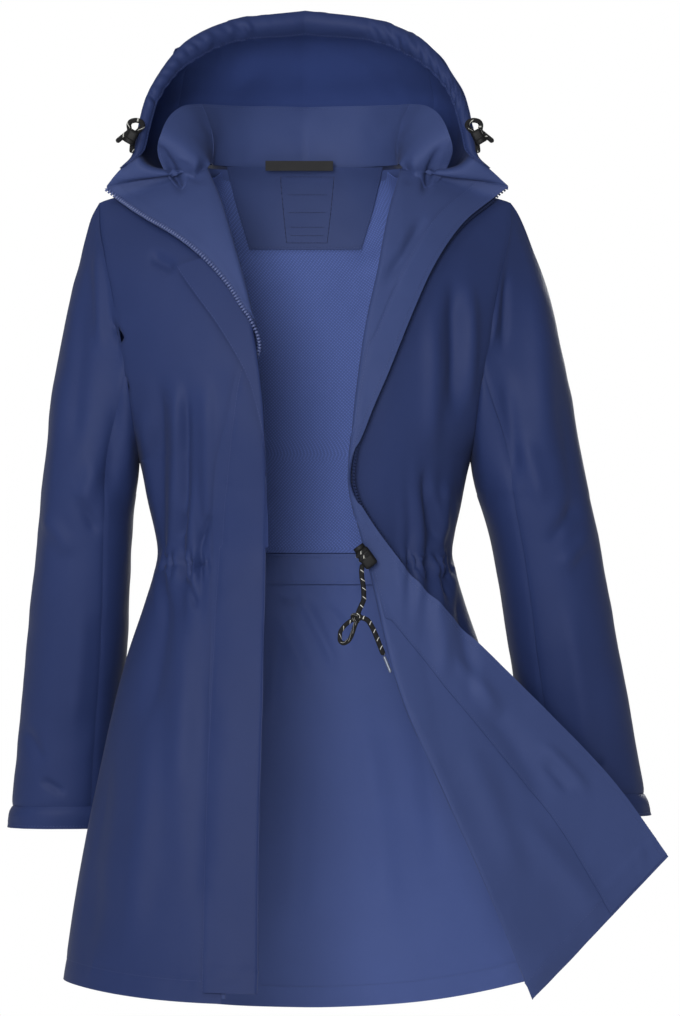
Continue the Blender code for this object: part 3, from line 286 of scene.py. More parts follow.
def column(table, key, name):
    """The smooth function of one named column of a table, over another."""
    return smooth([getattr(row, key) for row in table], [getattr(row, name) for row in table])


def place_column(table, name):
    """The smooth point function of a column that holds points, over place."""
    axes = [smooth([row.place for row in table], [getattr(row, name)[i] for row in table])
            for i in range(3)]
    return lambda u: np.stack([axis(u) for axis in axes], axis=-1)


def spread(low, high, count):
    return np.linspace(low, high, count)


def ease(x):
    x = np.clip(x, 0.0, 1.0)
    return x * x * (3.0 - 2.0 * x)


# ---------------------------------------------------------------- the body under the panels
LEVEL = {name: column(BODY, "level", name) for name in BodyRow._fields[1:]}
ARM_FRONT = column(ARMHOLE, "height", "front_x")
ARM_BACK = column(ARMHOLE, "height", "back_x")


def waist_folds(x, level):
    """The largest gathers at the drawcord, as an outward push."""
    near = np.exp(-((level - WAIST) / 0.060) ** 2)
    side = ease((np.abs(x) - 0.07) / 0.04) * ease((0.150 - np.abs(x)) / 0.02)
    return 0.0028 * near * side * np.cos((np.abs(x) - 0.11) / 0.0075)


def body_point(level, turn, back=False):
    """Point of the right-hand half (x > 0) at a turn of 0 (centre) to 90 degrees (side)."""
    fullness = BACK_FULLNESS if back else FRONT_FULLNESS
    angle = np.radians(turn)
    width = LEVEL["half_width"](level)
    across = np.clip(np.sin(angle), 0.0, 1.0) ** (2.0 / fullness)
    ahead = np.clip(np.cos(angle), 0.0, 1.0) ** (2.0 / fullness)
    x = width * across
    z = level - LEVEL["slope"](level) * np.maximum(x - NECK_HALF, 0.0)
    z = z + LEVEL["rise"](level) * across ** 3
    if back:
        inside_neck = np.clip(1.0 - (x / NECK_HALF) ** 2, 0.0, 1.0)
        y = LEVEL["middle"](level) + LEVEL["back"](level) * ahead + waist_folds(x, level)
        y = y + LEVEL["neck_bump"](level) * inside_neck ** 0.5
        z = z - LEVEL["drop"](level) * (1.0 - across ** 2)
    else:
        y = LEVEL["middle"](level) - LEVEL["front"](level) * ahead - waist_folds(x, level)
    return np.stack([x, y, z], axis=-1)


def level_at(x, z):
    """The level of the body row that passes a point seen from the front."""
    level = np.asarray(z, float) + 0.0 * np.asarray(x, float)
    for _ in range(8):
        drop = LEVEL["slope"](level) * np.maximum(x - NECK_HALF, 0.0)
        rise = LEVEL["rise"](level) * np.clip(x / LEVEL["half_width"](level), 0.0, 1.0) ** 3
        level = z + drop - rise
    return np.clip(level, BODY[-1].level, BODY[0].level)


def turn_at(x, level, back=False):
    fullness = BACK_FULLNESS if back else FRONT_FULLNESS
    share = np.clip(x / LEVEL["half_width"](level), 0.0, 1.0)
    return np.degrees(np.arcsin(share ** (fullness / 2.0)))


def front_depth(x, z):
    """How far forward (y) the body's front lies at a point seen from the front."""
    level = level_at(x, z)
    return body_point(level, turn_at(x, level))[..., 1]


def side_turn(level, back=False):
    """The turn at which a row ends: the armhole, or the side seam below it."""
    armhole = ARM_BACK if back else ARM_FRONT
    x = 0.18
    for _ in range(6):
        z = level - LEVEL["slope"](level) * np.maximum(x - NECK_HALF, 0.0)
        x = armhole(z)
    turn = turn_at(x, level, back)
    return np.where(level <= UNDERARM + 0.0005, 90.0, turn)


# ---------------------------------------------------------------- the fronts and their folds
FOLD_COLUMN = {
    side: {name: smooth(range(len(rows)), [getattr(row, name) for row in rows])
           for name in ("roll_x", "roll_z", "edge_x", "edge_z", "width")}
    for side, rows in FOLDS.items()
}
FACING_WIDTH = smooth([row.fold_row for row in FACING], [row.width for row in FACING])
FLAP_START = 6            # the left front's fold leaves the body below this row
FLAP_DEPTH = smooth(range(FLAP_START, len(FOLD_LEFT)),
                    [-0.128] + [row.depth for row in FOLD_LEFT[FLAP_START + 1:]])


def turned_out(side, row, g, layer=0.0):
    """Point of the turned-back cloth, g metres beyond the fold; layer moves it off its face."""
    fold = FOLD_COLUMN[side]
    start_x, start_z = fold["roll_x"](row), fold["roll_z"](row)
    end_x, end_z = fold["edge_x"](row), fold["edge_z"](row)
    width = np.maximum(fold["width"](row), 0.002)
    reach = np.hypot(end_x - start_x, end_z - start_z)
    far = reach > 0.003
    along_x = np.where(far, (end_x - start_x) / np.maximum(reach, 0.003), 1.0)
    along_z = np.where(far, (end_z - start_z) / np.maximum(reach, 0.003), 0.0)
    travel = np.where(far, g * reach / width, g)
    turn = np.clip(g / ROLL, 0.0, math.pi / 2.0)
    inset = ROLL - (ROLL - layer) * np.cos(turn)
    travel = np.where(turn < math.pi / 2.0, inset, np.maximum(travel, ROLL))
    lift = ROLL + (ROLL - layer) * np.sin(turn)
    x = start_x + along_x * travel
    z = start_z + along_z * travel
    y = front_depth(x, z) - lift
    if side == "left":
        flap = ease((row - FLAP_START) / 0.8)
        root = front_depth(start_x, start_z) - lift
        share = np.clip(g / width, 0.0, 1.0)
        tip = FLAP_DEPTH(row) + layer
        straight = root + (tip - root) * share
        on_body = ease((LEVEL["half_width"](level_at(x, z)) - x) / 0.03)
        clear = np.minimum(straight, straight + (y - 0.001 - straight) * on_body)
        y = y * (1.0 - flap) + clear * flap
    return np.stack([x, y, z], axis=-1)


def front_row(side, row, distances, layer=0.0):
    """Points of one row of a front at flat distances from its zip edge, and the row's length."""
    fold = FOLD_COLUMN[side]
    width = float(fold["width"](row))
    roll_x, level = float(fold["roll_x"](row)), float(fold["roll_z"](row))
    if row == 0:
        level = BODY[0].level
    start = float(turn_at(roll_x, level))
    turns = np.linspace(start, float(side_turn(level)), 160)
    path = body_point(level, turns)
    length = np.concatenate([[0.0], np.cumsum(np.linalg.norm(np.diff(path, axis=0), axis=1))])
    normal = section_normals(path)
    g = width - np.asarray(distances, float)
    bend = np.clip(-g / ROLL, 0.0, math.pi / 2.0)
    inset = ROLL - (ROLL - layer) * np.cos(bend)
    travel = np.where(bend < math.pi / 2.0, inset,
                      ROLL + np.maximum(-g, 0.0) - ROLL * math.pi / 2.0)
    on_body = np.stack([np.interp(travel, length, path[:, i]) for i in range(3)], axis=-1)
    out_way = np.stack([np.interp(travel, length, normal[:, i]) for i in range(3)], axis=-1)
    lift = ROLL - (ROLL - layer) * np.sin(bend)
    body = on_body + out_way * lift[:, None]
    folded = turned_out(side, np.full(len(g), float(row)), np.maximum(g, 0.0), layer)
    points = np.where((g > ON_FOLD)[:, None], folded, body)
    return points, width + length[-1] - ROLL + ROLL * math.pi / 2.0


def section_normals(path):
    """Outward normals of a level section, in its own plane."""
    run = np.gradient(path, axis=0)
    run[:, 2] = 0.0
    run /= np.maximum(np.linalg.norm(run, axis=1), 1e-9)[:, None]
    return np.stack([run[:, 1], -run[:, 0], 0.0 * run[:, 0]], axis=-1)


def mirror_to(side, points):
    """Sizes are given for x > 0; the wearer's right is x < 0."""
    out = np.array(points, float)
    out[..., 0] *= SIDES[side]
    return out


# ---------------------------------------------------------------- panels
def grid_normals(grid):
    """Unit normals of a grid of points, facing the way of its last column's outer side."""
    normal = outward(grid, True)
    return normal if normal[:, -1, 0].mean() > 0.0 else -normal


def storm_flap_row(row, stops, layer):
    """One row of the storm flap at flat distances from its free edge."""
    fold = FOLD_COLUMN["right"]
    width = float(fold["width"](row))
    g = width + STORM_FLAP_REACH - stops
    panel, _ = front_row("right", row, stops - STORM_FLAP_REACH, layer)
    start_x, start_z = float(fold["roll_x"](row)), float(fold["roll_z"](row))
    edge = np.array([float(column(STORM_FLAP, "fold_row", name)(row))
                     for name in ("edge_x", "edge_z")])
    along = edge - np.array([start_x, start_z])
    reach = float(np.hypot(*along))
    along = along / reach if reach > 0.001 else np.array([1.0, 0.0])
    turn = np.clip(g / ROLL, 0.0, math.pi / 2.0)
    far = ROLL + (g - ROLL * math.pi / 2.0) * reach / max(width + STORM_FLAP_REACH, 0.001)
    bend = ROLL - (ROLL - layer) * np.cos(turn)
    travel = np.where(turn < math.pi / 2.0, bend, np.maximum(far, ROLL))
    x = start_x + along[0] * travel
    z = start_z + along[1] * travel
    y = front_depth(x, z) - ROLL - (ROLL - layer) * np.sin(turn)
    folded = np.stack([x, y, z], axis=-1)
    return np.where((g > ON_FOLD)[:, None], folded, panel)


def back_grid(levels, columns, half_width=None):
    """Rows of the back, side to side, or out to a half width."""
    grid = []
    for level in levels:
        end = float(side_turn(level, back=True))
        if half_width is not None:
            end = float(turn_at(half_width(level), level, back=True))
        points = body_point(np.full(len(columns), level), np.abs(columns) * end, back=True)
        points[:, 0] *= np.sign(columns)
        grid.append(points)
    return np.array(grid)


# ---------------------------------------------------------------- sleeves
def armhole_point(turn):
    """Where a sleeve meridian meets the armhole, tucked just under the body's edge."""
    flat = np.abs(((turn + 180.0) % 360.0) - 180.0)
    height = column(ARMHOLE_START, "turn", "height")(flat)
    front = turn >= 0.0
    x = np.where(front, ARM_FRONT(height), ARM_BACK(height))
    level = level_at(x, height)
    ahead = body_point(level, turn_at(x, level))[..., 1]
    behind = body_point(level, turn_at(x, level, back=True), back=True)[..., 1]
    middle = LEVEL["middle"](level)
    y = np.where(front, ahead, behind)
    y = middle + (y - middle) * ease(np.minimum(flat / 12.0, (180.0 - flat) / 8.0))
    return np.stack([x - ARMHOLE_TUCK, y, height], axis=-1)


def tube_point(side, turn, height, grow=0.0):
    rows = SLEEVE[side]
    outer = column(rows, "height", "outer")(height)
    inner = column(rows, "height", "inner")(height)
    half = (outer - inner) / 2.0 + grow
    deep = column(rows, "height", "half_depth")(height) + grow
    angle = np.radians(turn)
    power = 2.0 / SLEEVE_FULLNESS
    x = (outer + inner) / 2.0 + half * np.sign(np.cos(angle)) * np.abs(np.cos(angle)) ** power
    y = column(rows, "height", "middle")(height)
    y = y - deep * np.sign(np.sin(angle)) * np.abs(np.sin(angle)) ** power
    return np.stack([x, y, height + 0.0 * angle], axis=-1)


def sleeve_point(side, turn, down):
    """turn 0 is the outer side, 90 the front, 180 the inner side; down runs 0 to 1 to the cuff."""
    root = armhole_point(turn)
    height = root[..., 2] + (CUFF_TOP[side] - root[..., 2]) * down
    here = tube_point(side, turn, height)
    there = tube_point(side, turn, root[..., 2])
    fade = (1.0 - ease(down / 0.24)) ** 1.4
    offset = (root - there) * fade[..., None]
    return here + offset


def seam_turn(down):
    return SEAM_TURN_TOP + (SEAM_TURN_CUFF - SEAM_TURN_TOP) * down


# ---------------------------------------------------------------- hood and collar
def hood_point(side, place, up):
    """place 0 at the front corner to 1 at the centre back; up 0 at the neck to 1 at the rim."""
    corner = turned_out(side, np.zeros_like(up), up * FOLDS[side][0].width)
    corner = corner + np.array([0.0, -0.0001, 0.0002])
    rest = 1.0 - up
    weights = (rest ** 3, 3 * rest ** 2 * up, 3 * rest * up ** 2, up ** 3)
    shape = sum(w[..., None] * place_column(HOOD, name)(np.maximum(place, 0.06) + 0.0 * up)
                for w, name in zip(weights, ("neck", "low", "high", "rim")))
    blend = ease(place / 0.12)
    return corner * (1.0 - blend) + shape * blend


def brim_point(place, across):
    """The rim's cord channel: across 0 at the rim to 1 inside it, rounded to the front."""
    rim = place_column(HOOD, "rim")(np.maximum(place, 0.06))
    width = column(BRIM, "place", "width")(place)
    inward = np.array([0.0, 0.0, 0.045]) - rim
    inward[..., 1] = 0.0
    inward = inward / np.linalg.norm(inward, axis=-1)[..., None]
    forward = 0.30 * width * np.sin(math.pi * across) + 0.0016 * ease(across / 0.12)
    point = rim + inward * (width * across)[..., None]
    point[..., 1] += -forward + 0.35 * width * across
    return point


def collar_point(place, up):
    base = place_column(COLLAR, "base")(place)
    top = place_column(COLLAR, "top")(place)
    bow = 0.006 * np.sin(math.pi * up) * ease(place / 0.3)
    point = base + (top - base) * np.asarray(up)[..., None]
    out = place_column(COLLAR, "top")(place) * np.array([1.0, 1.0, 0.0])
    out = out / np.maximum(np.linalg.norm(out, axis=-1), 1e-6)[..., None]
    point = point - out * np.asarray(bow)[..., None]
    rise = ease(np.asarray(up) / 0.30) * ease(np.asarray(place) / 0.10 + 0.15)
    laid = front_depth(point[..., 0], point[..., 2]) - 2.0 * ROLL + 0.0038 - 0.0062 * rise
    low = 1.0 - ease((place - 0.12) / 0.26)
    base_low = (1.0 - ease((place - 0.30) / 0.25)) * (1.0 - ease(np.asarray(up) / 0.35))
    share = np.maximum(low, base_low)
    point[..., 1] = point[..., 1] * (1.0 - share) + laid * share
    return point


def through(points, step):
    """A smooth route through a cord's own points, at an even step."""
    places = np.arange(len(points), dtype=float)
    axes = [smooth(places, [p[i] for p in points]) for i in range(3)]
    fine = np.linspace(0.0, places[-1], 200)
    path = np.stack([axis(fine) for axis in axes], axis=-1)
    length = np.concatenate([[0.0], np.cumsum(np.linalg.norm(np.diff(path, axis=0), axis=1))])
    count = max(int(round(length[-1] / step)), 2)
    stops = np.linspace(0.0, length[-1], count + 1)
    return np.stack([np.interp(stops, length, path[:, i]) for i in range(3)], axis=-1)


def tip_points():
    """The tail's thin metal-clipped end, just beyond the cord."""
    start, end = np.array(WAIST_TAIL[-1]), np.array(TIP_END)
    along = (end - start) / np.linalg.norm(end - start)
    return [tuple(start + along * d) for d in (0.0006, 0.006, 0.012)] + [tuple(end)]


# ---------------------------------------------------------------- finishes
NAVY = (0.0150, 0.0256, 0.0860)
# Inside face: the cloth's own navy painted lighter, as painted light, since less light reaches
# inside the coat
NAVY_INSIDE_WITH_PAINTED_LIGHT = (0.0290, 0.0445, 0.1260)
# Hood's inside: the cloth's own navy painted lighter still, as painted light deep in the hood
NAVY_HOOD_WITH_PAINTED_LIGHT = (0.0360, 0.0610, 0.2050)
# Back's inside: the cloth's own navy painted lighter, as painted light where little light reaches
NAVY_BACK_INSIDE_WITH_PAINTED_LIGHT = (0.0445, 0.0680, 0.1920)
# Mesh lining: its own navy, painted lighter as painted light, since little light reaches it inside
# the back
NAVY_MESH_WITH_PAINTED_LIGHT = (0.0680, 0.1050, 0.3040)
BLACK = (0.0035, 0.0035, 0.0042)


class Nodes:
    """Short hand for building a material's node tree."""

    def __init__(self, name):
        self.material = bpy.data.materials.new(name)
        self.material.use_nodes = True
        self.tree = self.material.node_tree
        self.shader = self.tree.nodes["Principled BSDF"]

    def add(self, kind, **settings):
        node = self.tree.nodes.new(kind)
        for key, value in settings.items():
            setattr(node, key, value)
        return node

    def link(self, source, target):
        self.tree.links.new(source, target)

    def math(self, operation, first, second=None, clamp=False):
        node = self.add("ShaderNodeMath", operation=operation, use_clamp=clamp)
        for socket, value in zip(node.inputs, (first, second)):
            if value is None:
                continue
            if isinstance(value, (int, float)):
                socket.default_value = value
            else:
                self.link(value, socket)
        return node.outputs[0]

    def noise(self, vector, scale, detail=3.0, roughness=0.55):
        node = self.add("ShaderNodeTexNoise")
        node.inputs["Scale"].default_value = scale
        node.inputs["Detail"].default_value = detail
        node.inputs["Roughness"].default_value = roughness
        self.link(vector, node.inputs["Vector"])
        return node.outputs["Fac"]

    def mix(self, factor, first, second):
        node = self.add("ShaderNodeMix", data_type="RGBA")
        for socket, value in zip((node.inputs[0], node.inputs[6], node.inputs[7]),
                                 (factor, first, second)):
            if isinstance(value, tuple):
                socket.default_value = (*value, 1.0)
            elif isinstance(value, (int, float)):
                socket.default_value = value
            else:
                self.link(value, socket)
        return node.outputs[2]

    def bump(self, height, strength, distance, below=None):
        node = self.add("ShaderNodeBump")
        node.inputs["Strength"].default_value = strength
        node.inputs["Distance"].default_value = distance
        self.link(height, node.inputs["Height"])
        if below is not None:
            self.link(below, node.inputs["Normal"])
        return node.outputs["Normal"]


def weave_height(made, uv, threads):
    """Plain weave on a piece's own cloth coordinates, in metres."""
    split = made.add("ShaderNodeSeparateXYZ")
    made.link(uv, split.inputs[0])
    across = made.math("SINE", made.math("MULTIPLY", split.outputs[0], 2.0 * math.pi * threads))
    along = made.math("SINE", made.math("MULTIPLY", split.outputs[1], 2.0 * math.pi * threads))
    return made.math("MULTIPLY", across, along)


def finish_cloth(name, colour, roughness, sheen, mottle=0.10, low_colour=None):
    """Woven cloth; low_colour is its tone at the neck, where it gets more light."""
    made = Nodes(name)
    coords = made.add("ShaderNodeTexCoord")
    place, uv = coords.outputs["Object"], coords.outputs["UV"]
    broad = made.noise(place, 9.0, 4.0)
    fine = made.noise(place, 260.0, 2.0)
    dark = tuple(c * (1.0 - mottle) for c in colour)
    light = tuple(c * (1.0 + mottle) for c in colour)
    tone = made.mix(broad, dark, light)
    tone = made.mix(made.math("MULTIPLY", fine, 0.25), tone, dark)
    # Painted light: darker at the neck, where more light falls, and lighter higher up inside the
    # hood
    if low_colour is not None:
        split = made.add("ShaderNodeSeparateXYZ")
        made.link(place, split.inputs[0])
        height = made.math("DIVIDE", made.math("SUBTRACT", split.outputs[2], 0.014), 0.035,
                           clamp=True)
        tone = made.mix(height, low_colour, tone)
    made.link(tone, made.shader.inputs["Base Color"])
    made.shader.inputs["Roughness"].default_value = roughness
    made.shader.inputs["Specular IOR Level"].default_value = 0.12
    made.shader.inputs["Sheen Weight"].default_value = sheen
    made.shader.inputs["Sheen Roughness"].default_value = 0.45
    weave = weave_height(made, uv, 1100.0)
    ripple = made.noise(place, 55.0, 3.0, 0.5)
    rough = made.bump(ripple, 0.25, 0.0012)
    made.link(made.bump(weave, 0.10, 0.0002, rough), made.shader.inputs["Normal"])
    return made.material


def finish_mesh():
    """Fine knitted mesh: small lozenge holes on the bias."""
    made = Nodes("mesh_knit_with_painted_light")
    coords = made.add("ShaderNodeTexCoord")
    turn = made.add("ShaderNodeMapping")
    turn.inputs["Rotation"].default_value = (0.0, 0.0, math.radians(45.0))
    made.link(coords.outputs["UV"], turn.inputs["Vector"])
    split = made.add("ShaderNodeSeparateXYZ")
    made.link(turn.outputs[0], split.inputs[0])
    across = made.math("SINE", made.math("MULTIPLY", split.outputs[0], 2.0 * math.pi / 0.0024))
    along = made.math("SINE", made.math("MULTIPLY", split.outputs[1], 2.0 * math.pi / 0.0024))
    knit = made.math("MULTIPLY_ADD", made.math("ADD", across, along), 0.25)
    made.tree.nodes[-1].inputs[2].default_value = 0.5
    hole = made.math("MULTIPLY", made.math("SUBTRACT", knit, 0.45), 2.2, clamp=True)
    # The mesh's own colour, painted lighter as painted light
    tone = made.mix(hole, tuple(c * 0.70 for c in NAVY_MESH_WITH_PAINTED_LIGHT), tuple(c * 1.12 for c in NAVY_MESH_WITH_PAINTED_LIGHT))
    made.link(tone, made.shader.inputs["Base Color"])
    made.shader.inputs["Roughness"].default_value = 0.8
    made.shader.inputs["Specular IOR Level"].default_value = 0.2
    made.link(made.bump(knit, 0.5, 0.0006), made.shader.inputs["Normal"])
    return made.material


def finish_cord(name, fleck_gap):
    """Black braid with a pale tracer that winds round it."""
    made = Nodes(name)
    coords = made.add("ShaderNodeTexCoord")
    split = made.add("ShaderNodeSeparateXYZ")
    made.link(coords.outputs["UV"], split.inputs[0])
    turn, run = split.outputs[0], split.outputs[1]
    wind = made.math("ADD", made.math("DIVIDE", run, fleck_gap), turn)
    phase = made.math("FRACT", wind)
    fleck = made.math("LESS_THAN", phase, 0.11)
    short = made.math("LESS_THAN", made.math("FRACT", made.math("MULTIPLY", turn, 2.0)), 0.62)
    pale = made.math("MULTIPLY", fleck, short)
    braid_a = made.math("SINE", made.math("MULTIPLY", made.math(
        "ADD", made.math("MULTIPLY", run, 700.0), made.math("MULTIPLY", turn, 8.0)), 2.0 * math.pi))
    braid_b = made.math("SINE", made.math("MULTIPLY", made.math(
        "SUBTRACT", made.math("MULTIPLY", run, 700.0), made.math("MULTIPLY", turn, 8.0)),
        2.0 * math.pi))
    braid = made.math("MULTIPLY", braid_a, braid_b)
    black = made.mix(made.math("MULTIPLY_ADD", braid, 0.5), BLACK, (0.011, 0.011, 0.012))
    made.tree.nodes[-2].inputs[2].default_value = 0.5
    made.link(made.mix(pale, black, (0.42, 0.42, 0.39)), made.shader.inputs["Base Color"])
    made.shader.inputs["Roughness"].default_value = 0.75
    made.shader.inputs["Specular IOR Level"].default_value = 0.2
    made.link(made.bump(braid, 0.5, 0.0003), made.shader.inputs["Normal"])
    return made.material


def finish_plain(name, colour, roughness, metallic=0.0, specular=0.5):
    """Moulded plastic, thread, ink or metal, very slightly grained."""
    made = Nodes(name)
    coords = made.add("ShaderNodeTexCoord")
    grains = made.noise(coords.outputs["Object"], 180.0, 3.0)
    tone = made.mix(grains, tuple(c * 0.85 for c in colour), tuple(c * 1.15 for c in colour))
    made.link(tone, made.shader.inputs["Base Color"])
    made.shader.inputs["Roughness"].default_value = roughness
    made.shader.inputs["Metallic"].default_value = metallic
    made.shader.inputs["Specular IOR Level"].default_value = specular
    made.link(made.bump(grains, 0.12, 0.0004), made.shader.inputs["Normal"])
    return made.material


def finish_tape():
    """Black woven tape, ribbed across."""
    made = Nodes("black_rib_tape")
    coords = made.add("ShaderNodeTexCoord")
    weave = weave_height(made, coords.outputs["UV"], 900.0)
    made.link(made.mix(made.math("MULTIPLY", weave, 0.5, clamp=True), BLACK, (0.02, 0.02, 0.022)),
              made.shader.inputs["Base Color"])
    made.shader.inputs["Roughness"].default_value = 0.75
    made.link(made.bump(weave, 0.5, 0.0003), made.shader.inputs["Normal"])
    return made.material


FINISH = {
    "shell": finish_cloth("shell_cloth_face", NAVY, 0.58, 0.02),
    # The inside finishes carry painted light: their colours are painted lighter than the shell's
    # own navy
    "inside": finish_cloth("shell_cloth_inside_with_painted_light", NAVY_INSIDE_WITH_PAINTED_LIGHT, 0.62, 0.015),
    "hood_inside": finish_cloth("hood_cloth_inside_with_painted_light", NAVY_HOOD_WITH_PAINTED_LIGHT, 0.62, 0.015,
                                low_colour=NAVY_INSIDE_WITH_PAINTED_LIGHT),
    "back_inside": finish_cloth("back_cloth_inside_with_painted_light", NAVY_BACK_INSIDE_WITH_PAINTED_LIGHT, 0.62, 0.015),
    "mesh": finish_mesh(),
    "tape": finish_cloth("zip_tape_weave", tuple(c * 0.65 for c in NAVY), 0.75, 0.02),
    "teeth": finish_plain("zip_teeth_moulded", (0.052, 0.072, 0.180), 0.38),
    "thread": finish_plain("navy_thread", (0.026, 0.041, 0.135), 0.55),
    "print": finish_plain("yoke_print", (0.012, 0.020, 0.070), 0.6),
    "black": finish_plain("moulded_black", (0.0025, 0.0025, 0.0031), 0.55, specular=0.2),
    "clip": finish_plain("tip_metal", (0.16, 0.18, 0.23), 0.40, 0.6),
    "rib": finish_tape(),
    "waist_cord": finish_cord("waist_cord_braid", 0.0088),
    "hood_cord": finish_cord("hood_cord_braid", 0.0125),
}


# ---------------------------------------------------------------- making cloth
CLOTH_WALL = 0.0008
SEWN_GAP = 0.0012         # from a panel's inner face to what is sewn flat on it
EDGE_DIP = 0.0008         # how far a seam's edge is drawn in
EDGE_REACH = 0.0032
SHARP_EDGE = math.radians(62.0)   # a fold sharper than this keeps a crisp edge


def add_piece(name, mesh, finishes, nodes=()):
    piece = bpy.data.objects.new(name, mesh)
    bpy.context.scene.collection.objects.link(piece)
    for finish in finishes:
        mesh.materials.append(FINISH[finish])
    mesh.shade_smooth()
    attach(piece, "root")
    if nodes:
        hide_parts(*nodes)
    return piece


def to_mesh(form, name):
    """The mesh of a finished form, which it frees."""
    mesh = bpy.data.meshes.new(name)
    form.to_mesh(mesh)
    form.free()
    return mesh


def runs(points, axis):
    """Distance along a grid's rows (axis 1) or columns (axis 0) to each of its points."""
    step = np.linalg.norm(np.diff(points, axis=axis), axis=-1)
    pad = [(0, 0), (0, 0)]
    pad[axis] = (1, 0)
    return np.pad(np.cumsum(step, axis=axis), pad)


def outward(points, outside_first):
    """Unit normals of a grid on the side that its faces show."""
    steps = []
    for axis in (0, 1):
        step = np.diff(points, axis=axis)
        step /= np.maximum(np.linalg.norm(step, axis=-1), 1e-9)[..., None]
        lead, tail = [(0, 0)] * 3, [(0, 0)] * 3
        lead[axis], tail[axis] = (1, 0), (0, 1)
        steps.append(np.pad(step, lead, mode="edge") + np.pad(step, tail, mode="edge"))
    normal = np.cross(steps[1], steps[0])
    normal /= np.maximum(np.linalg.norm(normal, axis=-1), 1e-9)[..., None]
    return normal if outside_first else -normal


def sheet_mesh(name, points, closed, outside_first):
    """A grid's mesh bent through rows of points, with its cloth coordinates in metres."""
    rows, cols = points.shape[:2]
    form = bmesh.new()
    bmesh.ops.create_grid(form, x_segments=cols - 1, y_segments=rows - 1, size=1.0)
    if not outside_first:
        bmesh.ops.reverse_faces(form, faces=form.faces)
    mesh = to_mesh(form, name)
    flat = np.empty(len(mesh.vertices) * 3)
    mesh.vertices.foreach_get("co", flat)
    flat = flat.reshape(-1, 3)
    col = np.rint((flat[:, 0] - flat[:, 0].min()) / np.ptp(flat[:, 0]) * (cols - 1)).astype(int)
    row = np.rint((flat[:, 1] - flat[:, 1].min()) / np.ptp(flat[:, 1]) * (rows - 1)).astype(int)
    mesh.vertices.foreach_set("co", points[row, col].ravel())
    cut = np.stack([runs(points, 1), runs(points, 0)], axis=-1)[row, col]
    corner = np.empty(len(mesh.loops), dtype=np.int32)
    mesh.loops.foreach_get("vertex_index", corner)
    layer = mesh.uv_layers.new(name="cut")
    layer.data.foreach_set("uv", cut[corner].astype(np.float32).ravel())
    mesh.update()
    if closed:
        form = bmesh.new()
        form.from_mesh(mesh)
        bmesh.ops.remove_doubles(form, verts=form.verts, dist=1e-6)
        form.to_mesh(mesh)
        form.free()
    return mesh


def keep_wall(piece):
    """Makes a sheet's wall part of its mesh, with crisp edges all round."""
    bpy.context.view_layer.update()
    walled = bpy.data.meshes.new_from_object(
        piece.evaluated_get(bpy.context.evaluated_depsgraph_get()))
    sheet = piece.data
    piece.modifiers.clear()
    piece.data = walled
    bpy.data.meshes.remove(sheet)
    walled.set_sharp_from_angle(angle=SHARP_EDGE)


def cloth(name, points, finish, nodes, push=0.0, wall=CLOTH_WALL, closed=False,
          outside_first=True, inside=None):
    """One cut piece of cloth: its sheet moved out by push, its wall, and what it was cut to.

    Gives back its inner face and that face's normals, for what is sewn on it."""
    moved = points + outward(points, outside_first) * np.asarray(push)[..., None]
    mesh = sheet_mesh(name, moved, closed, outside_first)
    finishes = (finish,) if inside is None else (finish, inside)
    piece = add_piece(name, mesh, finishes, nodes)
    solid = piece.modifiers.new("wall", "SOLIDIFY")
    solid.thickness = wall
    solid.offset = 1.0
    solid.use_even_offset = False
    if inside is not None:
        # the sheet's own faces end up outside, and the wall's new ones inside
        solid.material_offset = 1
    keep_wall(piece)
    return moved, outward(moved, outside_first)


# ---------------------------------------------------------------- folds and creases
Crease = namedtuple("Crease", "x0 z0 x1 z1 bow width height")
DEEPER = 1.7              # all the tables' folds stand out this much more


def crease_push(table, x, z):
    """How far a table's soft folds move each point out: a ridge above zero, a trough below."""
    push = np.zeros_like(x)
    for fold in table:
        run = np.array([fold.x1 - fold.x0, fold.z1 - fold.z0])
        length = float(np.hypot(*run))
        run /= length
        dx, dz = x - fold.x0, z - fold.z0
        s = (dx * run[0] + dz * run[1]) / length
        off = -dx * run[1] + dz * run[0] - fold.bow * 4.0 * s * (1.0 - s)
        fade = ease(s / 0.3) * ease((1.0 - s) / 0.3)
        push += DEEPER * fold.height * np.exp(-(off / fold.width) ** 2) * fade
    return push


def soft_noise(x, z, size, seed):
    """Smooth random values between -1 and 1 that change over a given size."""
    lattice = np.random.default_rng(seed).uniform(-1.0, 1.0, (64, 64))
    u, v = np.asarray(x) / size + 31.7, np.asarray(z) / size + 17.3
    i, j = np.floor(u).astype(int), np.floor(v).astype(int)
    fu, fv = ease(u - i), ease(v - j)
    i, j = i % 63, j % 63
    low = lattice[i, j] * (1.0 - fu) + lattice[i + 1, j] * fu
    high = lattice[i, j + 1] * (1.0 - fu) + lattice[i + 1, j + 1] * fu
    return low * (1.0 - fv) + high * fv


def edge_dip(points, sides, depth=EDGE_DIP, reach=EDGE_REACH):
    """Draws a sheet in where it is sewn to its neighbour; sides name the grid's borders."""
    across, down = runs(points, 1), runs(points, 0)
    gaps = {"first": across, "last": across[:, -1:] - across, "top": down, "end": down[-1:] - down}
    push = np.zeros(points.shape[:2])
    for side in sides:
        push -= depth * np.exp(-(gaps[side] / reach) ** 2)
    return push


GATHER_FROM, GATHER_TO = 0.088, 0.155   # from the centre line, each side


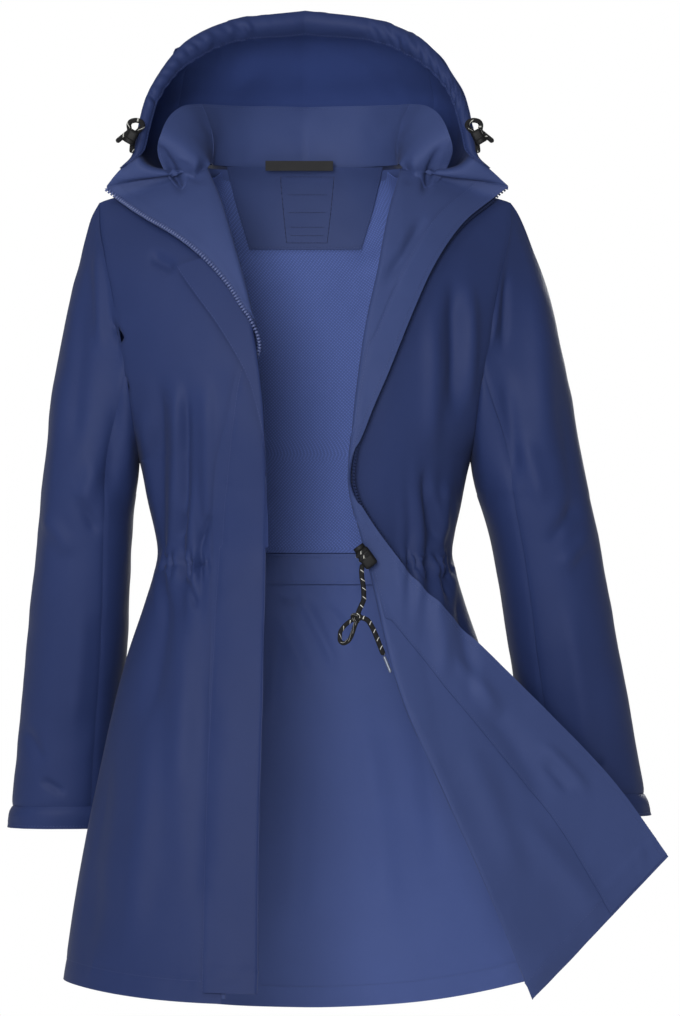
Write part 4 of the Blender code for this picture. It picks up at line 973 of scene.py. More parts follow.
def gathers(x, z, seed, low=GATHER_FROM):
    """Cloth puckered on the drawcord: tight folds at the cord, longer ones above and below."""
    here = ease((x - low) / 0.018) * ease((GATHER_TO - x) / 0.008)
    dz = z - WAIST
    wander = soft_noise(x, z, 0.016, seed) * 1.6
    fine = np.sin(2.0 * math.pi * x / 0.0088 + wander + 2.6 * soft_noise(x, z, 0.007, seed + 1))
    crumple = 0.0022 * soft_noise(x, z, 0.006, seed + 2)
    tight = np.exp(-(dz / 0.0120) ** 2) * (0.0029 * fine + crumple)
    spread_out = x + 0.20 * (x - 0.12) * np.clip(np.abs(dz) / 0.1, 0.0, 1.0)
    long_fold = np.sin(2.0 * math.pi * spread_out / 0.021 + 1.3 * soft_noise(x, z, 0.05, seed + 3))
    reach = np.where(dz > 0.0, 0.062, 0.040)
    long_push = 0.0032 * np.exp(-(dz / reach) ** 2) * long_fold
    waist = -0.0016 * np.exp(-(dz / 0.004) ** 2)
    return here * (tight + long_push + waist)


FRONT_FOLDS = {
    "right": rows_of(Crease,
        (-0.152, 0.028, -0.121, -0.032, 0.003, 0.0040, -0.0040),
        (-0.127, 0.009, -0.110, 0.002, 0.0, 0.0025, 0.0016),
        (-0.119, -0.008, -0.100, -0.017, 0.0, 0.0028, -0.0016),
        (-0.193, -0.160, -0.180, -0.179, 0.001, 0.0036, -0.0045),
        (-0.181, -0.212, -0.175, -0.228, 0.0, 0.0030, -0.0030),
        (-0.156, -0.090, -0.126, -0.106, 0.0, 0.0060, -0.0026),
        (-0.145, -0.200, -0.146, -0.374, 0.001, 0.0075, -0.0036),
        (-0.128, -0.205, -0.126, -0.372, 0.001, 0.0070, 0.0028),
        (-0.117, -0.215, -0.117, -0.372, 0.0, 0.0048, -0.0030),
        (-0.098, -0.205, -0.096, -0.374, 0.001, 0.0080, 0.0022),
        (-0.163, -0.240, -0.152, -0.360, 0.002, 0.0070, 0.0022),
        (-0.118, -0.345, -0.123, -0.374, 0.0, 0.0028, -0.0026),
        (-0.125, -0.390, -0.119, -0.416, 0.0, 0.0030, -0.0030),
        (-0.119, -0.408, -0.106, -0.444, 0.001, 0.0034, -0.0030),
        (-0.092, -0.345, -0.103, -0.380, 0.0, 0.0034, -0.0024),
        (-0.136, -0.405, -0.158, -0.560, 0.004, 0.0100, -0.0030),
        (-0.118, -0.430, -0.130, -0.640, 0.003, 0.0130, 0.0026),
        (-0.150, -0.520, -0.178, -0.800, 0.004, 0.0150, 0.0030),
        (-0.098, -0.470, -0.108, -0.760, 0.002, 0.0130, -0.0020),
        (-0.200, -0.560, -0.222, -0.815, 0.003, 0.0130, -0.0030)),
    "left": rows_of(Crease,
        (0.139, 0.028, 0.118, -0.034, -0.003, 0.0038, -0.0040),
        (0.088, -0.001, 0.105, -0.005, 0.0, 0.0024, -0.0014),
        (0.096, -0.017, 0.111, -0.013, 0.0, 0.0026, -0.0014),
        (0.120, -0.048, 0.076, -0.122, 0.003, 0.0060, -0.0030),
        (0.146, -0.105, 0.147, -0.262, 0.002, 0.0085, -0.0044),
        (0.164, -0.110, 0.162, -0.250, 0.001, 0.0070, 0.0026),
        (0.127, -0.130, 0.124, -0.300, 0.002, 0.0090, 0.0024),
        (0.127, -0.377, 0.118, -0.300, 0.001, 0.0040, -0.0026),
        (0.131, -0.379, 0.125, -0.330, 0.0, 0.0030, -0.0022),
        (0.141, -0.377, 0.140, -0.310, 0.001, 0.0050, 0.0026),
        (0.134, -0.404, 0.138, -0.430, 0.0, 0.0030, -0.0030),
        (0.128, -0.405, 0.137, -0.520, 0.003, 0.0090, 0.0026),
        (0.148, -0.410, 0.166, -0.540, 0.003, 0.0080, -0.0028),
        (0.145, -0.485, 0.196, -0.553, 0.002, 0.0080, 0.0028),
        (0.166, -0.520, 0.246, -0.640, 0.004, 0.0120, -0.0026),
        (0.229, -0.571, 0.284, -0.628, 0.003, 0.0050, 0.0020),
        (0.236, -0.590, 0.264, -0.624, 0.0, 0.0040, -0.0018),
        (0.200, -0.640, 0.300, -0.760, 0.006, 0.0140, 0.0030),
        (0.150, -0.560, 0.215, -0.720, 0.004, 0.0140, 0.0024)),
}
BACK_FOLDS = rows_of(Crease,
    (-0.026, -0.428, -0.014, -0.440, 0.0, 0.0034, 0.0018),
    (-0.015, -0.440, -0.005, -0.426, 0.0, 0.0034, 0.0018),
    (-0.010, -0.424, 0.034, -0.512, 0.003, 0.0055, -0.0026),
    (-0.034, -0.440, 0.004, -0.524, 0.003, 0.0070, 0.0020),
    (0.012, -0.430, 0.050, -0.486, 0.002, 0.0060, 0.0018),
    (-0.030, -0.470, -0.036, -0.560, 0.002, 0.0070, -0.0018),
    (-0.006, -0.560, -0.018, -0.800, 0.004, 0.0160, -0.0024),
    (0.050, -0.520, 0.085, -0.800, 0.006, 0.0160, 0.0026),
    (0.096, -0.430, 0.138, -0.740, 0.006, 0.0150, -0.0030),
    (-0.084, -0.430, -0.120, -0.720, 0.005, 0.0150, 0.0034),
    (-0.128, -0.420, -0.172, -0.780, 0.006, 0.0150, -0.0034),
    (0.150, -0.450, 0.190, -0.790, 0.005, 0.0140, 0.0030),
    (-0.160, -0.150, -0.128, -0.300, 0.006, 0.0110, -0.0040),
    (0.160, -0.140, 0.126, -0.310, 0.006, 0.0110, -0.0040),
    (-0.120, -0.190, -0.100, -0.360, 0.004, 0.0110, 0.0026),
    (0.110, -0.200, 0.092, -0.370, 0.004, 0.0110, 0.0026),
    (-0.070, -0.250, -0.060, -0.380, 0.003, 0.0090, -0.0022),
    (0.060, -0.270, 0.050, -0.380, 0.003, 0.0090, -0.0020),
    (-0.110, -0.060, -0.030, -0.110, 0.004, 0.0100, 0.0016),
    (0.115, -0.062, 0.040, -0.104, 0.004, 0.0100, 0.0016))
SLEEVE_FOLDS = {
    "right": rows_of(Crease,
        (-0.193, -0.160, -0.178, -0.181, 0.001, 0.0036, -0.0045),
        (-0.207, -0.075, -0.204, -0.190, 0.002, 0.0060, 0.0026),
        (-0.222, -0.110, -0.232, -0.300, 0.002, 0.0100, -0.0024),
        (-0.186, -0.215, -0.200, -0.345, 0.003, 0.0080, -0.0026),
        (-0.245, -0.150, -0.266, -0.470, 0.004, 0.0110, 0.0022),
        (-0.208, -0.290, -0.226, -0.350, 0.003, 0.0080, 0.0022),
        (-0.230, -0.330, -0.205, -0.372, 0.003, 0.0070, -0.0026),
        (-0.262, -0.345, -0.232, -0.392, 0.003, 0.0080, 0.0020),
        (-0.222, -0.430, -0.236, -0.580, 0.003, 0.0100, 0.0018),
        (-0.266, -0.613, -0.240, -0.629, 0.001, 0.0036, -0.0024),
        (-0.284, -0.560, -0.262, -0.600, 0.002, 0.0060, -0.0018)),
    "left": rows_of(Crease,
        (0.188, -0.085, 0.184, -0.190, 0.001, 0.0042, 0.0034),
        (0.199, -0.100, 0.196, -0.190, 0.001, 0.0040, -0.0026),
        (0.226, -0.100, 0.240, -0.290, 0.002, 0.0120, 0.0022),
        (0.196, -0.200, 0.208, -0.330, 0.003, 0.0080, -0.0028),
        (0.252, -0.200, 0.276, -0.440, 0.004, 0.0120, -0.0022),
        (0.214, -0.270, 0.236, -0.345, 0.003, 0.0080, 0.0022),
        (0.274, -0.330, 0.238, -0.380, 0.003, 0.0080, -0.0026),
        (0.286, -0.360, 0.250, -0.404, 0.003, 0.0080, 0.0020),
        (0.258, -0.430, 0.282, -0.600, 0.003, 0.0100, 0.0020),
        (0.300, -0.590, 0.272, -0.622, 0.002, 0.0050, -0.0022)),
}


def soft_relief(x, z, seed):
    """Uneven hang of the cloth between its folds."""
    return 0.0012 * soft_noise(x, z, 0.052, seed) + 0.0004 * soft_noise(x, z, 0.019, seed + 1)


def front_relief(side, x, z):
    """How far a front's layers stand out towards the viewer at a place."""
    seed = 11 if side == "right" else 41
    push = crease_push(FRONT_FOLDS[side], x, z) + soft_relief(x, z, seed)
    return push + gathers(np.abs(x), z, seed + 5)


def back_relief(x, z):
    """How far the back's layers stand out behind."""
    push = crease_push(BACK_FOLDS, x, z) + soft_relief(x, z, 71)
    fuller = 0.25 + 0.75 * ease((np.abs(x) - 0.05) / 0.05)
    return push + fuller * gathers(np.abs(x), z, 81, low=0.006)


def sleeve_relief(side, points, normals):
    """Creases on the sleeve's front, and the same a little lower behind."""
    x, z = points[..., 0], points[..., 2]
    front = np.clip(-normals[..., 1] * 1.6, 0.0, 1.0)
    behind = np.clip(normals[..., 1] * 1.6, 0.0, 1.0)
    table = SLEEVE_FOLDS[side]
    later = [fold._replace(z0=fold.z0 - 0.022, z1=fold.z1 - 0.030) for fold in table]
    push = front * crease_push(table, x, z) + behind * crease_push(later, x, z)
    return push + soft_relief(points[..., 1] + 0.4 * x, z, 91 if side == "right" else 97)


def front_push(side, points, outside_first):
    """The front's relief, along the normals of a layer that follows it."""
    relief = front_relief(side, points[..., 0], points[..., 2])
    return relief * towards(outward(points, outside_first), -1.0)


def towards(normals, way):
    """Share of a push along y (way -1 is the front) that goes along each outward normal."""
    return np.clip(normals[..., 1] * way * 2.5, -1.0, 1.0)


# ---------------------------------------------------------------- stitches and teeth
STITCH = 0.0024           # one stitch, and its pitch
STITCH_PITCH = 0.0033
THREAD = 0.00042


def pick(points, rows, cols):
    """Points of a grid at fractional rows and columns."""
    r = np.clip(np.asarray(rows, float), 0.0, points.shape[0] - 1.001)
    c = np.clip(np.asarray(cols, float), 0.0, points.shape[1] - 1.001)
    i, j = r.astype(int), c.astype(int)
    u, v = (r - i)[:, None], (c - j)[:, None]
    upper = points[i, j] * (1.0 - v) + points[i, j + 1] * v
    lower = points[i + 1, j] * (1.0 - v) + points[i + 1, j + 1] * v
    return upper * (1.0 - u) + lower * u


def even(path, pitch):
    """Places along a path at an even pitch, as fractional indices."""
    step = np.linalg.norm(np.diff(path, axis=0), axis=1)
    length = np.concatenate([[0.0], np.cumsum(step)])
    stops = np.arange(pitch / 2.0, length[-1], pitch)
    return np.interp(stops, length, np.arange(len(path)))


def at_places(path, place):
    """Points of a path at fractional indices."""
    grid = np.asarray(path)[:, None, :]
    grid = np.concatenate([grid, grid], axis=1)
    return pick(grid, place, np.zeros(len(place)))


def repeat_shape(name, path, normals, pitch, size, finish, round_shape):
    """A small rounded or boxed shape repeated along a path: size runs along, across and out."""
    places = even(path, pitch)
    centres, outs = at_places(path, places), at_places(normals, places)
    ahead = at_places(path, np.minimum(places + 0.3, len(path) - 1.001))
    ahead = ahead - at_places(path, np.maximum(places - 0.3, 0.0))
    form = bmesh.new()
    for centre, out, way in zip(centres, outs, ahead):
        x = Vector(way).normalized()
        y = Vector(out).cross(x).normalized()
        z = x.cross(y)
        turn = Matrix((x * size[0], y * size[1], z * size[2])).transposed().to_4x4()
        turn.translation = Vector(centre)
        if round_shape:
            bmesh.ops.create_uvsphere(form, u_segments=6, v_segments=4, radius=0.5, matrix=turn)
        else:
            bmesh.ops.create_cube(form, size=1.0, matrix=turn)
    mesh = to_mesh(form, name)
    return add_piece(name, mesh, (finish,))


def sew(name, sheet, rows=None, cols=None, face=1.0):
    """Stitches on a sheet's outer (1) or inner (-1) face, all along it where a place is None."""
    points, normals = sheet
    rows = np.arange(points.shape[0], dtype=float) if rows is None else rows
    cols = np.arange(points.shape[1], dtype=float) if cols is None else cols
    path = pick(points, rows, cols)
    outs = pick(normals, rows, cols)
    lift = CLOTH_WALL + 0.0001 if face > 0.0 else -0.0001
    return repeat_shape(name, path + outs * lift, outs * face, STITCH_PITCH,
                        (STITCH, THREAD, THREAD), "thread", True)


def groove(distance, depth=0.0005, width=0.0011):
    """The dip that a line of stitches draws into the cloth."""
    return -depth * np.exp(-(distance / width) ** 2)


def column_at(points, distance, from_last=False):
    """Fractional column that lies a distance along each row."""
    across = runs(points, 1)
    if from_last:
        across = across - across[:, -1:] + distance
        return np.array([np.interp(0.0, row, np.arange(len(row))) for row in across])
    wanted = np.broadcast_to(distance, points.shape[0])
    return np.array([np.interp(d, row, np.arange(len(row))) for d, row in zip(wanted, across)])


def row_at(points, distance):
    """Fractional row that lies a distance above each column's end."""
    down = runs(points, 0)
    wanted = down[-1] - distance
    return np.array([np.interp(d, down[:, i], np.arange(len(down))) for i, d in enumerate(wanted)])


# ---------------------------------------------------------------- the fronts
HEM_BAND = 0.0215         # stitch line above the hem
FINE = 0.0043             # cloth grid
ROLL_END = 0.016
LEAST_TURNED = 0.012      # least width of front laid with the turned-back columns
TURNED_MARGIN = 0.005     # where these columns stop short of the fold
TAPE_PITCH = 0.0033       # zip teeth, and one tooth along and across
TOOTH = (0.0018, 0.0046)
TOOTH_THICK = {"right": 0.0032, "left": 0.0018}


def fine_rows(side, first=0.0, last=None):
    """Fold rows at an even spacing down the front."""
    table = FOLDS[side]
    last = len(table) - 1.0 if last is None else last
    rows = np.linspace(first, last, 400)
    fold = FOLD_COLUMN[side]
    ends = [np.stack([fold[a](rows), fold[b](rows)], axis=-1)
            for a, b in (("roll_x", "roll_z"), ("edge_x", "edge_z"))]
    step = sum(np.linalg.norm(np.diff(path, axis=0), axis=1) for path in ends) / 2.0
    length = np.concatenate([[0.0], np.cumsum(step)])
    count = int(length[-1] / FINE) + 1
    return np.interp(np.linspace(0.0, length[-1], count), length, rows)


def front_stops(side, row, total, turned_columns, rest_columns):
    wide = float(FOLD_COLUMN[side]["width"](row))
    least = LEAST_TURNED + (0.010 * float(ease((row - 6.0) / 2.0)) if side == "right" else 0.0)
    turned = max(wide - TURNED_MARGIN, least)
    roll = turned + spread(0.0, ROLL_END, 10)
    return np.concatenate([spread(0.0, turned, turned_columns), roll[1:],
                           spread(roll[-1], total, rest_columns + 1)[1:]])


def front_grid(side):
    """A front's rows, from its zip edge over the fold to its side."""
    columns = (26, 62) if side == "right" else (44, 66)
    grid = []
    for row in fine_rows(side):
        _, total = front_row(side, row, [0.0])
        grid.append(front_row(side, row, front_stops(side, row, total, *columns))[0])
    return mirror_to(side, np.array(grid))


def hem_puckers(points, seed):
    """Small pulls along the hem's stitch line, as a push."""
    down = runs(points, 0)
    above = down[-1:] - down
    across = runs(points, 1)
    near = np.exp(-((above - HEM_BAND) / 0.010) ** 2)
    pull = soft_noise(across + 0.35 * above, above * 0.4, 0.009, seed)
    return near * 0.0006 * pull + groove(above - HEM_BAND, 0.0008, 0.0016)


def make_front(side):
    points = front_grid(side)
    outside_first = side == "right"
    push = front_push(side, points, outside_first)
    push += edge_dip(points, ("last",))
    push += hem_puckers(points, 5 if side == "right" else 6)
    name = "front_" + side
    sheet = cloth(name + "_cloth", points, "shell", (name,), push,
                  outside_first=outside_first, inside="inside")
    hem = row_at(points, HEM_BAND)
    sew(name + "_hem_stitches", sheet, hem)
    sew(name + "_hem_stitches_inside", sheet, hem, face=-1.0)


def strip_grid(side, rows, widths, columns, layer):
    """A strip along a front's edge, laid off the panel's own face."""
    grid = []
    for row, width in zip(rows, widths):
        grid.append(front_row(side, row, spread(0.0, width, columns))[0])
    grid = np.array(grid)
    panel = spread(0.0, 0.25, 60)
    normal = grid_normals(np.array([front_row(side, row, panel)[0] for row in rows]))
    flat = np.array([np.stack([np.interp(spread(0.0, width, columns), panel, way[:, i])
                               for i in range(3)], axis=-1) for way, width in zip(normal, widths)])
    return mirror_to(side, grid + flat * layer)


def make_facing():
    """The left front's facing, with its stitches."""
    rows = fine_rows("left", 0.03, 10.97)
    turned = np.maximum(FOLD_COLUMN["left"]["width"](rows) - TURNED_MARGIN, LEAST_TURNED)
    widths = np.minimum(FACING_WIDTH(rows), 0.92 * turned)
    points = strip_grid("left", rows, widths, 20, -SEWN_GAP)
    push = front_push("left", points, False)
    across = runs(points, 1)
    push -= groove(across[:, -1:] - across - 0.0022, 0.0005)
    push += hem_puckers(points, 8)
    sheet = cloth("facing_left_cloth", points, "inside", ("facing_left",), push,
                  outside_first=False)
    sew("facing_left_stitches", sheet, cols=column_at(points, 0.0022, from_last=True), face=-1.0)
    sew("facing_left_edge_stitches", sheet, cols=column_at(points, 0.0050), face=-1.0)


def make_zip(side):
    """One zip tape with its teeth."""
    last = len(FOLDS[side]) - 1.0
    rows = fine_rows(side, 0.05, last - 0.05)
    wide = np.maximum(FOLD_COLUMN[side]["width"](rows) - TURNED_MARGIN, LEAST_TURNED)
    if side == "left":
        wide = np.minimum(FACING_WIDTH(rows), 0.92 * wide)
    widths = np.minimum(ZIP_TAPE, 0.45 * wide)
    layer = -SEWN_GAP if side == "right" else SHELL + LAYER_GAP
    points = strip_grid(side, rows, widths, 5, layer)
    if side == "right":
        way = points[:, 0] - points[:, 1]
        way /= np.linalg.norm(way, axis=-1)[:, None]
        points = np.concatenate([(points[:, 0] + way * ZIP_TEETH)[:, None], points], axis=1)
    push = front_push(side, points, side == "right")
    name = "zip_tape_" + side
    finish = "inside" if side == "right" else "tape"
    sheet = cloth(name + "_cloth", points, finish, (name,), push,
                  outside_first=side == "right")
    rows_at = np.arange(points.shape[0], dtype=float)[rows <= last - 0.20]
    path = pick(sheet[0], rows_at, np.full(len(rows_at), 0.25))
    outs = pick(sheet[1], rows_at, np.full(len(rows_at), 0.25))
    repeat_shape("zip_teeth_" + side, path + outs * 0.0004, outs, TAPE_PITCH,
                 (*TOOTH, TOOTH_THICK[side]), "teeth" if side == "right" else "tape",
                 False)


FLAP_LIFT = 0.0016        # the flap lies this much further off the panel
FLAP_STITCH = smooth([2.5, 5.0, 6.0, 7.0, 8.0, 8.5, 9.0, 10.0, 11.0, 13.0],
                     [0.036, 0.038, 0.039, 0.040, 0.042, 0.047, 0.0495, 0.053, 0.055, 0.056])


def make_storm_flap():
    rows = fine_rows("right", STORM_FLAP[0].fold_row, len(FOLD_RIGHT) - 1.1)
    grid = []
    for row in rows:
        wide = max(float(FOLD_COLUMN["right"]["width"](row)) - TURNED_MARGIN,
                   LEAST_TURNED + 0.010 * float(ease((row - 6.0) / 2.0)))
        end = STORM_FLAP_REACH + min(STORM_FLAP_SEAM, 0.9 * wide)
        grid.append(storm_flap_row(row, spread(0.0, end, 22), SHELL + FLAP_LIFT))
    points = mirror_to("right", np.array(grid))
    push = front_push("right", points, True)
    push += hem_puckers(points, 9)
    across = runs(points, 1)
    line = FLAP_STITCH(rows)[:, None]
    push += groove(across - line, 0.0007, 0.0014) + groove(across - 0.0016, 0.0003)
    near = np.exp(-((across - line) / 0.005) ** 2)
    push += near * 0.0005 * soft_noise(runs(points, 0), across * 0.5, 0.008, 17)
    sheet = cloth("storm_flap_cloth", points, "shell", ("storm_flap",), push)
    sew("storm_flap_stitches", sheet, cols=column_at(points, FLAP_STITCH(rows)))
    sew("storm_flap_stitches_inside", sheet, cols=column_at(points, 0.0016), face=-1.0)


# ---------------------------------------------------------------- the back and what lines it
YOKE_DEPTH = 0.0066       # the yoke's place inside the back
LINING_TOP, LINING_END = -0.009, -0.3875
CASING_TOP, CASING_END = -0.3885, -0.418
LINING_REACH = 0.922      # share of the back's half width that the lining covers
YOKE_TOP, YOKE_END = -0.0045, -0.0805
LOOP_ENDS = (-0.040, 0.028)
LOOP_DEPTH = 0.0585       # how far back the hanger loop lies at its middle
LOOP_CURVE = 3.6


def back_levels(low, high):
    return spread(high, low, int((high - low) / FINE) + 1)


def make_back():
    points = back_grid(back_levels(HEM, -0.002), spread(-1.0, 1.0, 151))
    normals = outward(points, True)
    push = back_relief(points[..., 0], points[..., 2]) * towards(normals, 1.0)
    push += edge_dip(points, ("first", "last")) + hem_puckers(points, 7)
    sheet = cloth("back_cloth", points, "shell", ("back",), push,
                  inside="back_inside")
    hem = row_at(points, HEM_BAND)
    sew("back_hem_stitches", sheet, hem)
    sew("back_hem_stitches_inside", sheet, hem, face=-1.0)


def lined(low, high, columns, count, distance, half_width=None):
    """A layer inside the back, moved out with it."""
    grid = back_grid(back_levels(low, high), spread(-columns, columns, count), half_width)
    points = grid - grid_normals(grid) * distance
    push = back_relief(points[..., 0], points[..., 2]) * towards(outward(points, True), 1.0)
    below_neck = points[:1, :, 2] - points[..., 2]
    if high > -0.02:
        in_neck = ease((0.092 - np.abs(points[..., 0])) / 0.012)
        points[..., 2] += 0.009 * in_neck * np.exp(-(below_neck / 0.02) ** 2)
    return points, push


def make_linings():
    depth = THIN + LINING_GAP
    points, push = lined(LINING_END, LINING_TOP, LINING_REACH, 110, depth)
    cloth("mesh_lining_cloth", points, "mesh", ("mesh_lining",), push)
    points, push = lined(CASING_END, CASING_TOP, LINING_REACH, 110, depth)
    down = runs(points, 0)
    push += groove(down - 0.0035, 0.0009, 0.0016) + groove(down[-1:] - down - 0.0025, 0.0006)
    sheet = cloth("waist_casing_cloth", points, "back_inside",
                  ("waist_casing",), push)
    sew("waist_casing_stitches", sheet, row_at(points, 0.0025), face=-1.0)
    sew("waist_casing_top_stitches", sheet, np.full(points.shape[1], 0.8), face=-1.0)
    half = smooth([-0.082, -0.004], [0.057, 0.082])
    points, push = lined(YOKE_END, YOKE_TOP, 1.0, 40, YOKE_DEPTH, half)
    sheet = cloth("neck_yoke_cloth", points, "inside", ("neck_yoke",), push)
    make_yoke_print(sheet)
    rows, cols = points.shape[:2]
    for place, name in ((0.6, "right"), (cols - 1.6, "left")):
        sew("neck_yoke_stitches_" + name, sheet, cols=np.full(rows, place), face=-1.0)
    sew("neck_yoke_stitches_low", sheet, np.full(cols, rows - 1.5), face=-1.0)


def make_yoke_print(sheet):
    """A plain printed frame with dividing lines, and nothing written in it."""
    points, normals = sheet
    rows, cols = points.shape[:2]
    low, high = cols * 0.335, cols * 0.665
    top, end = rows * 0.86, rows * 0.10
    lines = [((top, low), (top, high)), ((end, low), (end, high)),
             ((end, low), (top, low)), ((end, high), (top, high))]
    for share in (0.24, 0.50, 0.74, 0.88):
        row = end + (top - end) * share
        lines.append(((row, low + 1.5), (row, high - 1.5)))
    form = bmesh.new()
    for (row_a, col_a), (row_b, col_b) in lines:
        steps = 14
        at_rows, at_cols = spread(row_a, row_b, steps), spread(col_a, col_b, steps)
        path = pick(points, at_rows, at_cols) - pick(normals, at_rows, at_cols) * 0.0002
        for start, stop in zip(path[:-1], path[1:]):
            way = Vector(stop - start)
            middle = Matrix.Translation(Vector((start + stop) / 2.0))
            turn = way.to_track_quat("X", "Y").to_matrix().to_4x4()
            size = Matrix.Diagonal((way.length * 1.04, 0.0003, 0.0006, 1.0))
            bmesh.ops.create_cube(form, size=1.0, matrix=middle @ turn @ size)
    mesh = to_mesh(form, "neck_yoke_print")
    add_piece("neck_yoke_print", mesh, ("print",))


def make_hanger_loop():
    xs = spread(*LOOP_ENDS, 40)
    bow = 0.0035 * np.sin(math.pi * (xs - xs[0]) / (xs[-1] - xs[0]))
    depth = LOOP_DEPTH - bow - LOOP_CURVE * xs ** 2
    rows = [np.stack([xs, depth, np.full(len(xs), low - 0.001)], axis=-1)
            for low in spread(-0.0015, 0.0085, 6)]
    cloth("hanger_loop_tape", np.array(rows), "rib", ("hanger_loop",),
          outside_first=False, wall=0.0010)


# ---------------------------------------------------------------- sleeves and cuffs
def make_sleeve(side, part):
    rows = spread(0.0, 1.0, 146)
    grid = []
    for down in rows:
        seam = seam_turn(down)
        half_gap = math.degrees(SEAM_GAP / 0.05)
        if part == "upper":
            turns = spread(-seam + half_gap, seam - half_gap, 66)
        else:
            turns = spread(seam + half_gap, 360.0 - seam - half_gap, 36)
            turns = np.where(turns > 180.0, turns - 360.0, turns)
        grid.append(sleeve_point(side, turns, np.full(len(turns), down)))
    points = mirror_to(side, np.array(grid))
    outside_first = side == "left"
    push = sleeve_relief(side, points, outward(points, outside_first))
    push *= ease(rows / 0.03)[:, None]
    push += edge_dip(points, ("first", "last", "end"))
    name = "sleeve_%s_%s" % (part, side)
    cloth(name + "_cloth", points, "shell", (name,), push,
          outside_first=outside_first, inside="inside")


def make_cuff(side):
    turns = spread(-180.0, 180.0, 105)
    top = CUFF_TOP[side] + SEAM_GAP
    grid = []
    for down in spread(0.0, 1.0, 8):
        height = np.full(len(turns), top - CUFF_HEIGHT * down)
        grid.append(tube_point(side, turns, height, CUFF_FLARE * min(down / 0.35, 1.0)))
    points = mirror_to(side, np.array(grid))
    points[:, -1] = points[:, 0]
    outside_first = side == "left"
    across, down = runs(points, 1), runs(points, 0)
    lap = np.minimum(across, across[:, -1:] - across)
    push = 0.0007 * soft_noise(across, down, 0.012, 61) * ease(lap / 0.02)
    push += edge_dip(points, ("top",), 0.0012, 0.003) + groove(down[-1:] - down - 0.003, 0.0004)
    push[:, -1] = push[:, 0]
    name = "cuff_" + side
    sheet = cloth(name + "_cloth", points, "shell", (name,), push,
                  closed=True, outside_first=outside_first, inside="inside")
    sew(name + "_stitches", sheet, row_at(points, 0.003))


# ---------------------------------------------------------------- hood and collar
def hood_relief(points, normals, seed, gather):
    """Soft dents in the hood, with crumples near its gathered rim; gather is 1 at the rim."""
    x, y, z = (points[..., i] for i in range(3))
    push = 0.0022 * soft_noise(x + 0.6 * y, z - 0.4 * y, 0.045, seed)
    push += 0.0007 * soft_noise(x - y, z + y, 0.018, seed + 1)
    corner = ease((np.abs(x) - 0.045) / 0.04) * ease((z - 0.055) / 0.03)
    crumple = soft_noise(x * 0.8 + z * 0.7, z * 0.5 - x * 0.4, 0.008, seed + 2)
    push += gather * (0.0006 + 0.0012 * corner) * crumple
    groove_front = crease_push(FRONT_FOLDS["left"] + FRONT_FOLDS["right"], x, z)
    return push + groove_front * towards(normals, -1.0) * ease((0.04 - z) / 0.02)


def both_halves(point_at, places):
    """Rows of a piece that crosses the centre back; point_at gives its left-hand half's."""
    right = [mirror_to("right", point_at(place)) for place in places]
    return np.array(right + [point_at(place) for place in places[-2::-1]])


def make_hood_side(side):
    ups = spread(0.0, 1.0, 56)
    places = spread(0.0, HOOD_PANEL - 0.0002, 66)
    points = np.array([hood_point(side, place, ups) for place in places])
    tucked = points[:1] + np.array([0.0, 0.0010, -0.0034])
    points = mirror_to(side, np.concatenate([tucked, points]))
    places = np.concatenate([[0.0], places])
    outside_first = side == "right"
    normals = outward(points, outside_first)
    gather = np.exp(-((1.0 - ups) / 0.16) ** 2)[None, :] * np.ones((len(places), 1))
    push = hood_relief(points, normals, 101, gather) * ease(ups / 0.06)[None, :]
    joined = (1.0 - ease(places / 0.12))[:, None]
    front = front_push(side, points, outside_first)
    push = push * (1.0 - joined) + front * joined + edge_dip(points, ("end",))
    name = "hood_side_" + side
    cloth(name + "_cloth", points, "shell", (name,), push,
          outside_first=outside_first, inside="hood_inside")


def make_hood_centre():
    ups = spread(0.0, 1.0, 56)
    half_places = spread(HOOD_PANEL + 0.0002, 1.0, 25)
    points = both_halves(lambda place: hood_point("right", place, ups), half_places)
    normals = outward(points, True)
    gather = np.exp(-((1.0 - ups) / 0.16) ** 2)[None, :] * np.ones((len(points), 1))
    push = hood_relief(points, normals, 101, gather) * ease(ups / 0.06)[None, :]
    push += edge_dip(points, ("top", "end", "first"))
    cloth("hood_centre_cloth", points, "shell", ("hood_centre",), push,
          inside="hood_inside")


def make_brim():
    across = spread(0.0, 1.0, 13)
    half_places = np.concatenate([spread(0.075, 0.66, 108), spread(0.66, 1.0, 50)[1:]])
    shares = 0.25 + 0.75 * ease((half_places - 0.075) / 0.09)
    right = [mirror_to("right", brim_point(np.full(13, place), across * share))
             for place, share in zip(half_places, shares)]
    left = [brim_point(np.full(13, place), across * share)
            for place, share in zip(half_places[-2::-1], shares[-2::-1])]
    points = np.array(right + left)
    run, side_run = runs(points, 0), runs(points, 1)
    x, z = points[..., 0], points[..., 2]
    corner = ease((np.abs(x) - 0.040) / 0.03) * ease((z - 0.045) / 0.03)
    pucker = soft_noise(run + 0.5 * side_run, side_run * 0.35, 0.0065, 121)
    wave = np.sin(2.0 * math.pi * run / 0.0125 + 2.2 * soft_noise(run, side_run, 0.02, 122))
    middle = np.sin(math.pi * np.clip(across, 0.0, 1.0))[None, :]
    push = (0.0005 + 0.0016 * corner) * pucker * (0.35 + 0.65 * middle) + 0.0006 * corner * wave
    push += groove(side_run[:, -1:] - side_run - 0.002, 0.0006, 0.0013)
    push *= ease(across / 0.16)[None, :]
    sheet = cloth("hood_brim_cloth", points, "shell", ("hood_brim",), push)
    sew("hood_brim_stitches", sheet, cols=column_at(points, 0.002, from_last=True))


